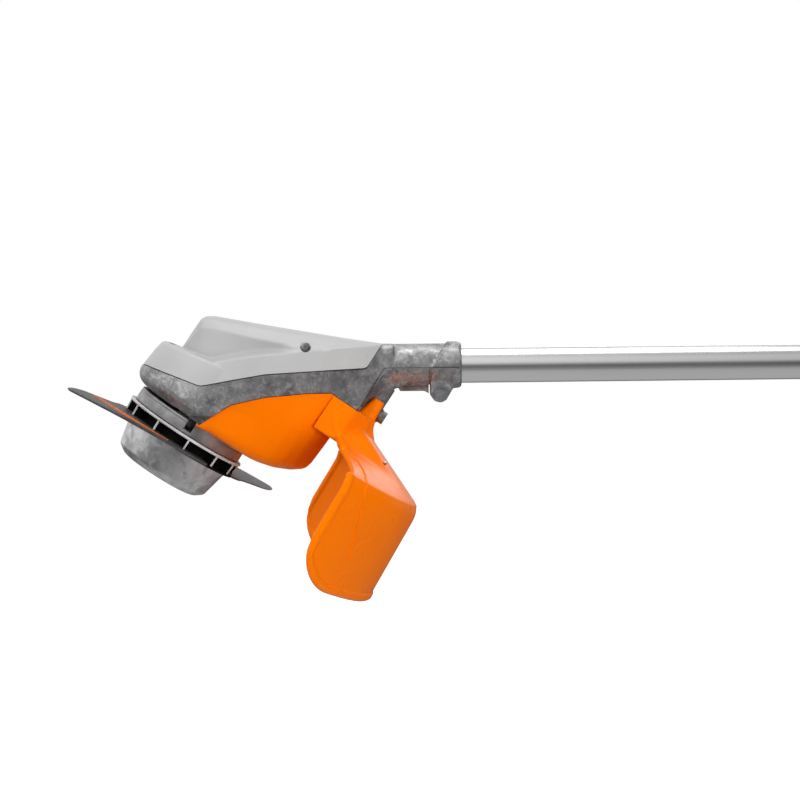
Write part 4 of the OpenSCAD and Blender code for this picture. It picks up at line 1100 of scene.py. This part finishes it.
top_path = fillet([(-LOOP_HALF, 20, 0), (-LOOP_HALF, LOOP_TOP, LOOP_R), (LOOP_HALF, LOOP_TOP, LOOP_R),
                   (LOOP_HALF, 20, 0)], 24)[1:-1]
middle = len(top_path) // 2
straight = [(top_path[middle - 1][0] * (1 - t / 24) + top_path[middle][0] * t / 24, LOOP_TOP)
            for t in range(1, 24)]
top_path = top_path[:middle] + straight + top_path[middle:]
count = len(top_path)
outer, inner = [], []
for i, (y, z) in enumerate(top_path):
    ahead, behind = top_path[min(i + 1, count - 1)], top_path[max(i - 1, 0)]
    d = Vector((ahead[0] - behind[0], ahead[1] - behind[1])).normalized()
    end = min(1, i / 3, (count - 1 - i) / 3)
    swell = 11.2 + 1.3 * math.sqrt(1 - (1 - end) ** 2) + 0.22 * math.cos(i * TAU / 3)
    for rows, r in ((outer, swell), (inner, 8.5)):
        rows.append([(LOOP_X + r * math.cos(f), y - d.y * r * math.sin(f), z + d.x * r * math.sin(f))
                     for f in (TAU * k / 48 for k in range(48))])
# one lengthwise strip for each angle round the bar: out along the foam, back along its bore
sleeve = wrapped("loop_sleeve", [[row[k] for row in outer] + [row[k] for row in inner[::-1]]
                                 for k in range(48)])
finish_piece(sleeve, "trimmer", M["rubber"], ["loop_grip"], angle=50)

# ---- stage

floor = build("floor", [(x, y, -330) for x, y in ((-4000, -4000), (5000, -4000), (5000, 4000),
                                                  (-4000, 4000))], [(0, 1, 2, 3)])
floor_mat = bpy.data.materials.new("pale_floor")
floor_mat.use_nodes = True
fn, fl = floor_mat.node_tree.nodes, floor_mat.node_tree.links
paint = fn["Principled BSDF"]
paint.inputs["Base Color"].default_value = (0.9, 0.9, 0.9, 1)
paint.inputs["Roughness"].default_value = 0.9
paint.inputs["Specular IOR Level"].default_value = 0.0
paint.inputs["Emission Color"].default_value = (1, 1, 1, 1)
paint.inputs["Emission Strength"].default_value = 0.6
ray = fn.new("ShaderNodeLightPath")
clear = fn.new("ShaderNodeBsdfTransparent")
choose = fn.new("ShaderNodeMixShader")
fl.new(ray.outputs["Is Camera Ray"], choose.inputs["Fac"])
fl.new(clear.outputs["BSDF"], choose.inputs[1])
fl.new(paint.outputs["BSDF"], choose.inputs[2])
fl.new(choose.outputs["Shader"], fn["Material Output"].inputs["Surface"])
floor.data.materials.append(floor_mat)

scene = bpy.context.scene
scene.view_settings.view_transform = "Standard"
scene.view_settings.look = "None"

camera = bpy.data.objects.new("camera", bpy.data.cameras.new("camera"))
scene.collection.objects.link(camera)
camera.data.lens = 78.56
camera.data.sensor_width = 36
camera.data.clip_end = 50
camera.matrix_world = (Matrix.Translation(metres((-44.4, -1243, -24.7)))
                       @ Matrix.Rotation(math.radians(0.63), 4, "Y")
                       @ Matrix.Rotation(math.radians(90), 4, "X"))
scene.camera = camera


def softbox(name, place, target, size, power, size_y=None):
    data = bpy.data.lights.new(name, "AREA")
    data.shape = "RECTANGLE"
    data.size = size
    data.size_y = size_y or size
    data.energy = power
    light = bpy.data.objects.new(name, data)
    scene.collection.objects.link(light)
    at = metres(place)
    light.location = at
    light.rotation_euler = (metres(target) - at).to_track_quat("-Z", "Y").to_euler()
    return light


head = (-130, 0, -20)
softbox("key", (-900, -1000, 900), head, 0.9, 3.2)
softbox("top", (-100, -150, 1200), head, 1.2, 8.5, 0.8)
softbox("rear", (500, 900, 600), (0, 0, 0), 1.0, 3)
softbox("far_handle", (1300, -700, 900), (1150, 0, 0), 0.9, 3.5)
# even light for the plastic parts that polished metal does not mirror
for name, place, target, power in (("fill", (520, -1000, -260), (-70, 0, -120), 7.2),
                                   ("fill_left", (-800, -900, -100), head, 2.0),
                                   ("fill_back", (900, 1100, -200), (300, 0, -60), 6),
                                   ("fill_handle", (1250, -1000, -150), (1150, 0, 0), 6)):
    softbox(name, place, target, 0.6, power).visible_glossy = False

world = bpy.data.worlds.new("studio")
scene.world = world
world.use_nodes = True
wn, wl = world.node_tree.nodes, world.node_tree.links
for node in list(wn):
    wn.remove(node)
out = wn.new("ShaderNodeOutputWorld")
mix = wn.new("ShaderNodeMixShader")
path = wn.new("ShaderNodeLightPath")
seen = wn.new("ShaderNodeBackground")
seen.inputs["Color"].default_value = (1, 1, 1, 1)
seen.inputs["Strength"].default_value = 1.0
lit = wn.new("ShaderNodeBackground")
where = wn.new("ShaderNodeTexCoord")
split = wn.new("ShaderNodeSeparateXYZ")
wl.new(where.outputs["Generated"], split.inputs["Vector"])


def fall(axis, stops):
    """Brightness of the surroundings along one axis, from -1 to 1."""
    rise = wn.new("ShaderNodeMapRange")
    rise.inputs["From Min"].default_value = -1
    rise.inputs["From Max"].default_value = 1
    wl.new(split.outputs[axis], rise.inputs["Value"])
    node = wn.new("ShaderNodeValToRGB")
    elements = node.color_ramp.elements
    while len(elements) < len(stops):
        elements.new(0.5)
    for element, (place, value) in zip(elements, stops):
        element.position = place
        element.color = (value, value, value, 1)
    wl.new(rise.outputs["Result"], node.inputs["Fac"])
    return node.outputs["Color"]


height = fall("Z", [(0.0, 0.0), (0.22, 0.02), (0.28, 0.3), (0.36, 0.13), (0.44, 0.2), (0.5, 0.45),
                    (0.57, 1.0),
                    (0.8, 1.0), (0.93, 0.62), (1.0, 1.0)])
across = fall("X", [(0.0, 1.0), (0.42, 1.0), (0.52, 0.9), (0.64, 0.5), (0.76, 0.25), (0.86, 0.1),
                    (1.0, 0.2)])
ground = fall("Z", [(0.0, 0.5), (0.16, 0.46), (0.26, 0.05), (0.3, 0.0)])
product = wn.new("ShaderNodeMix")
product.data_type = "RGBA"
product.blend_type = "MULTIPLY"
product.inputs["Factor"].default_value = 1
wl.new(height, product.inputs["A"])
wl.new(across, product.inputs["B"])
total = wn.new("ShaderNodeMix")
total.data_type = "RGBA"
total.blend_type = "ADD"
total.inputs["Factor"].default_value = 1
wl.new(product.outputs["Result"], total.inputs["A"])
wl.new(ground, total.inputs["B"])
wl.new(total.outputs["Result"], lit.inputs["Color"])
lit.inputs["Strength"].default_value = 1.0
wl.new(path.outputs["Is Camera Ray"], mix.inputs["Fac"])
wl.new(lit.outputs["Background"], mix.inputs[1])
wl.new(seen.outputs["Background"], mix.inputs[2])
wl.new(mix.outputs["Shader"], out.inputs["Surface"])
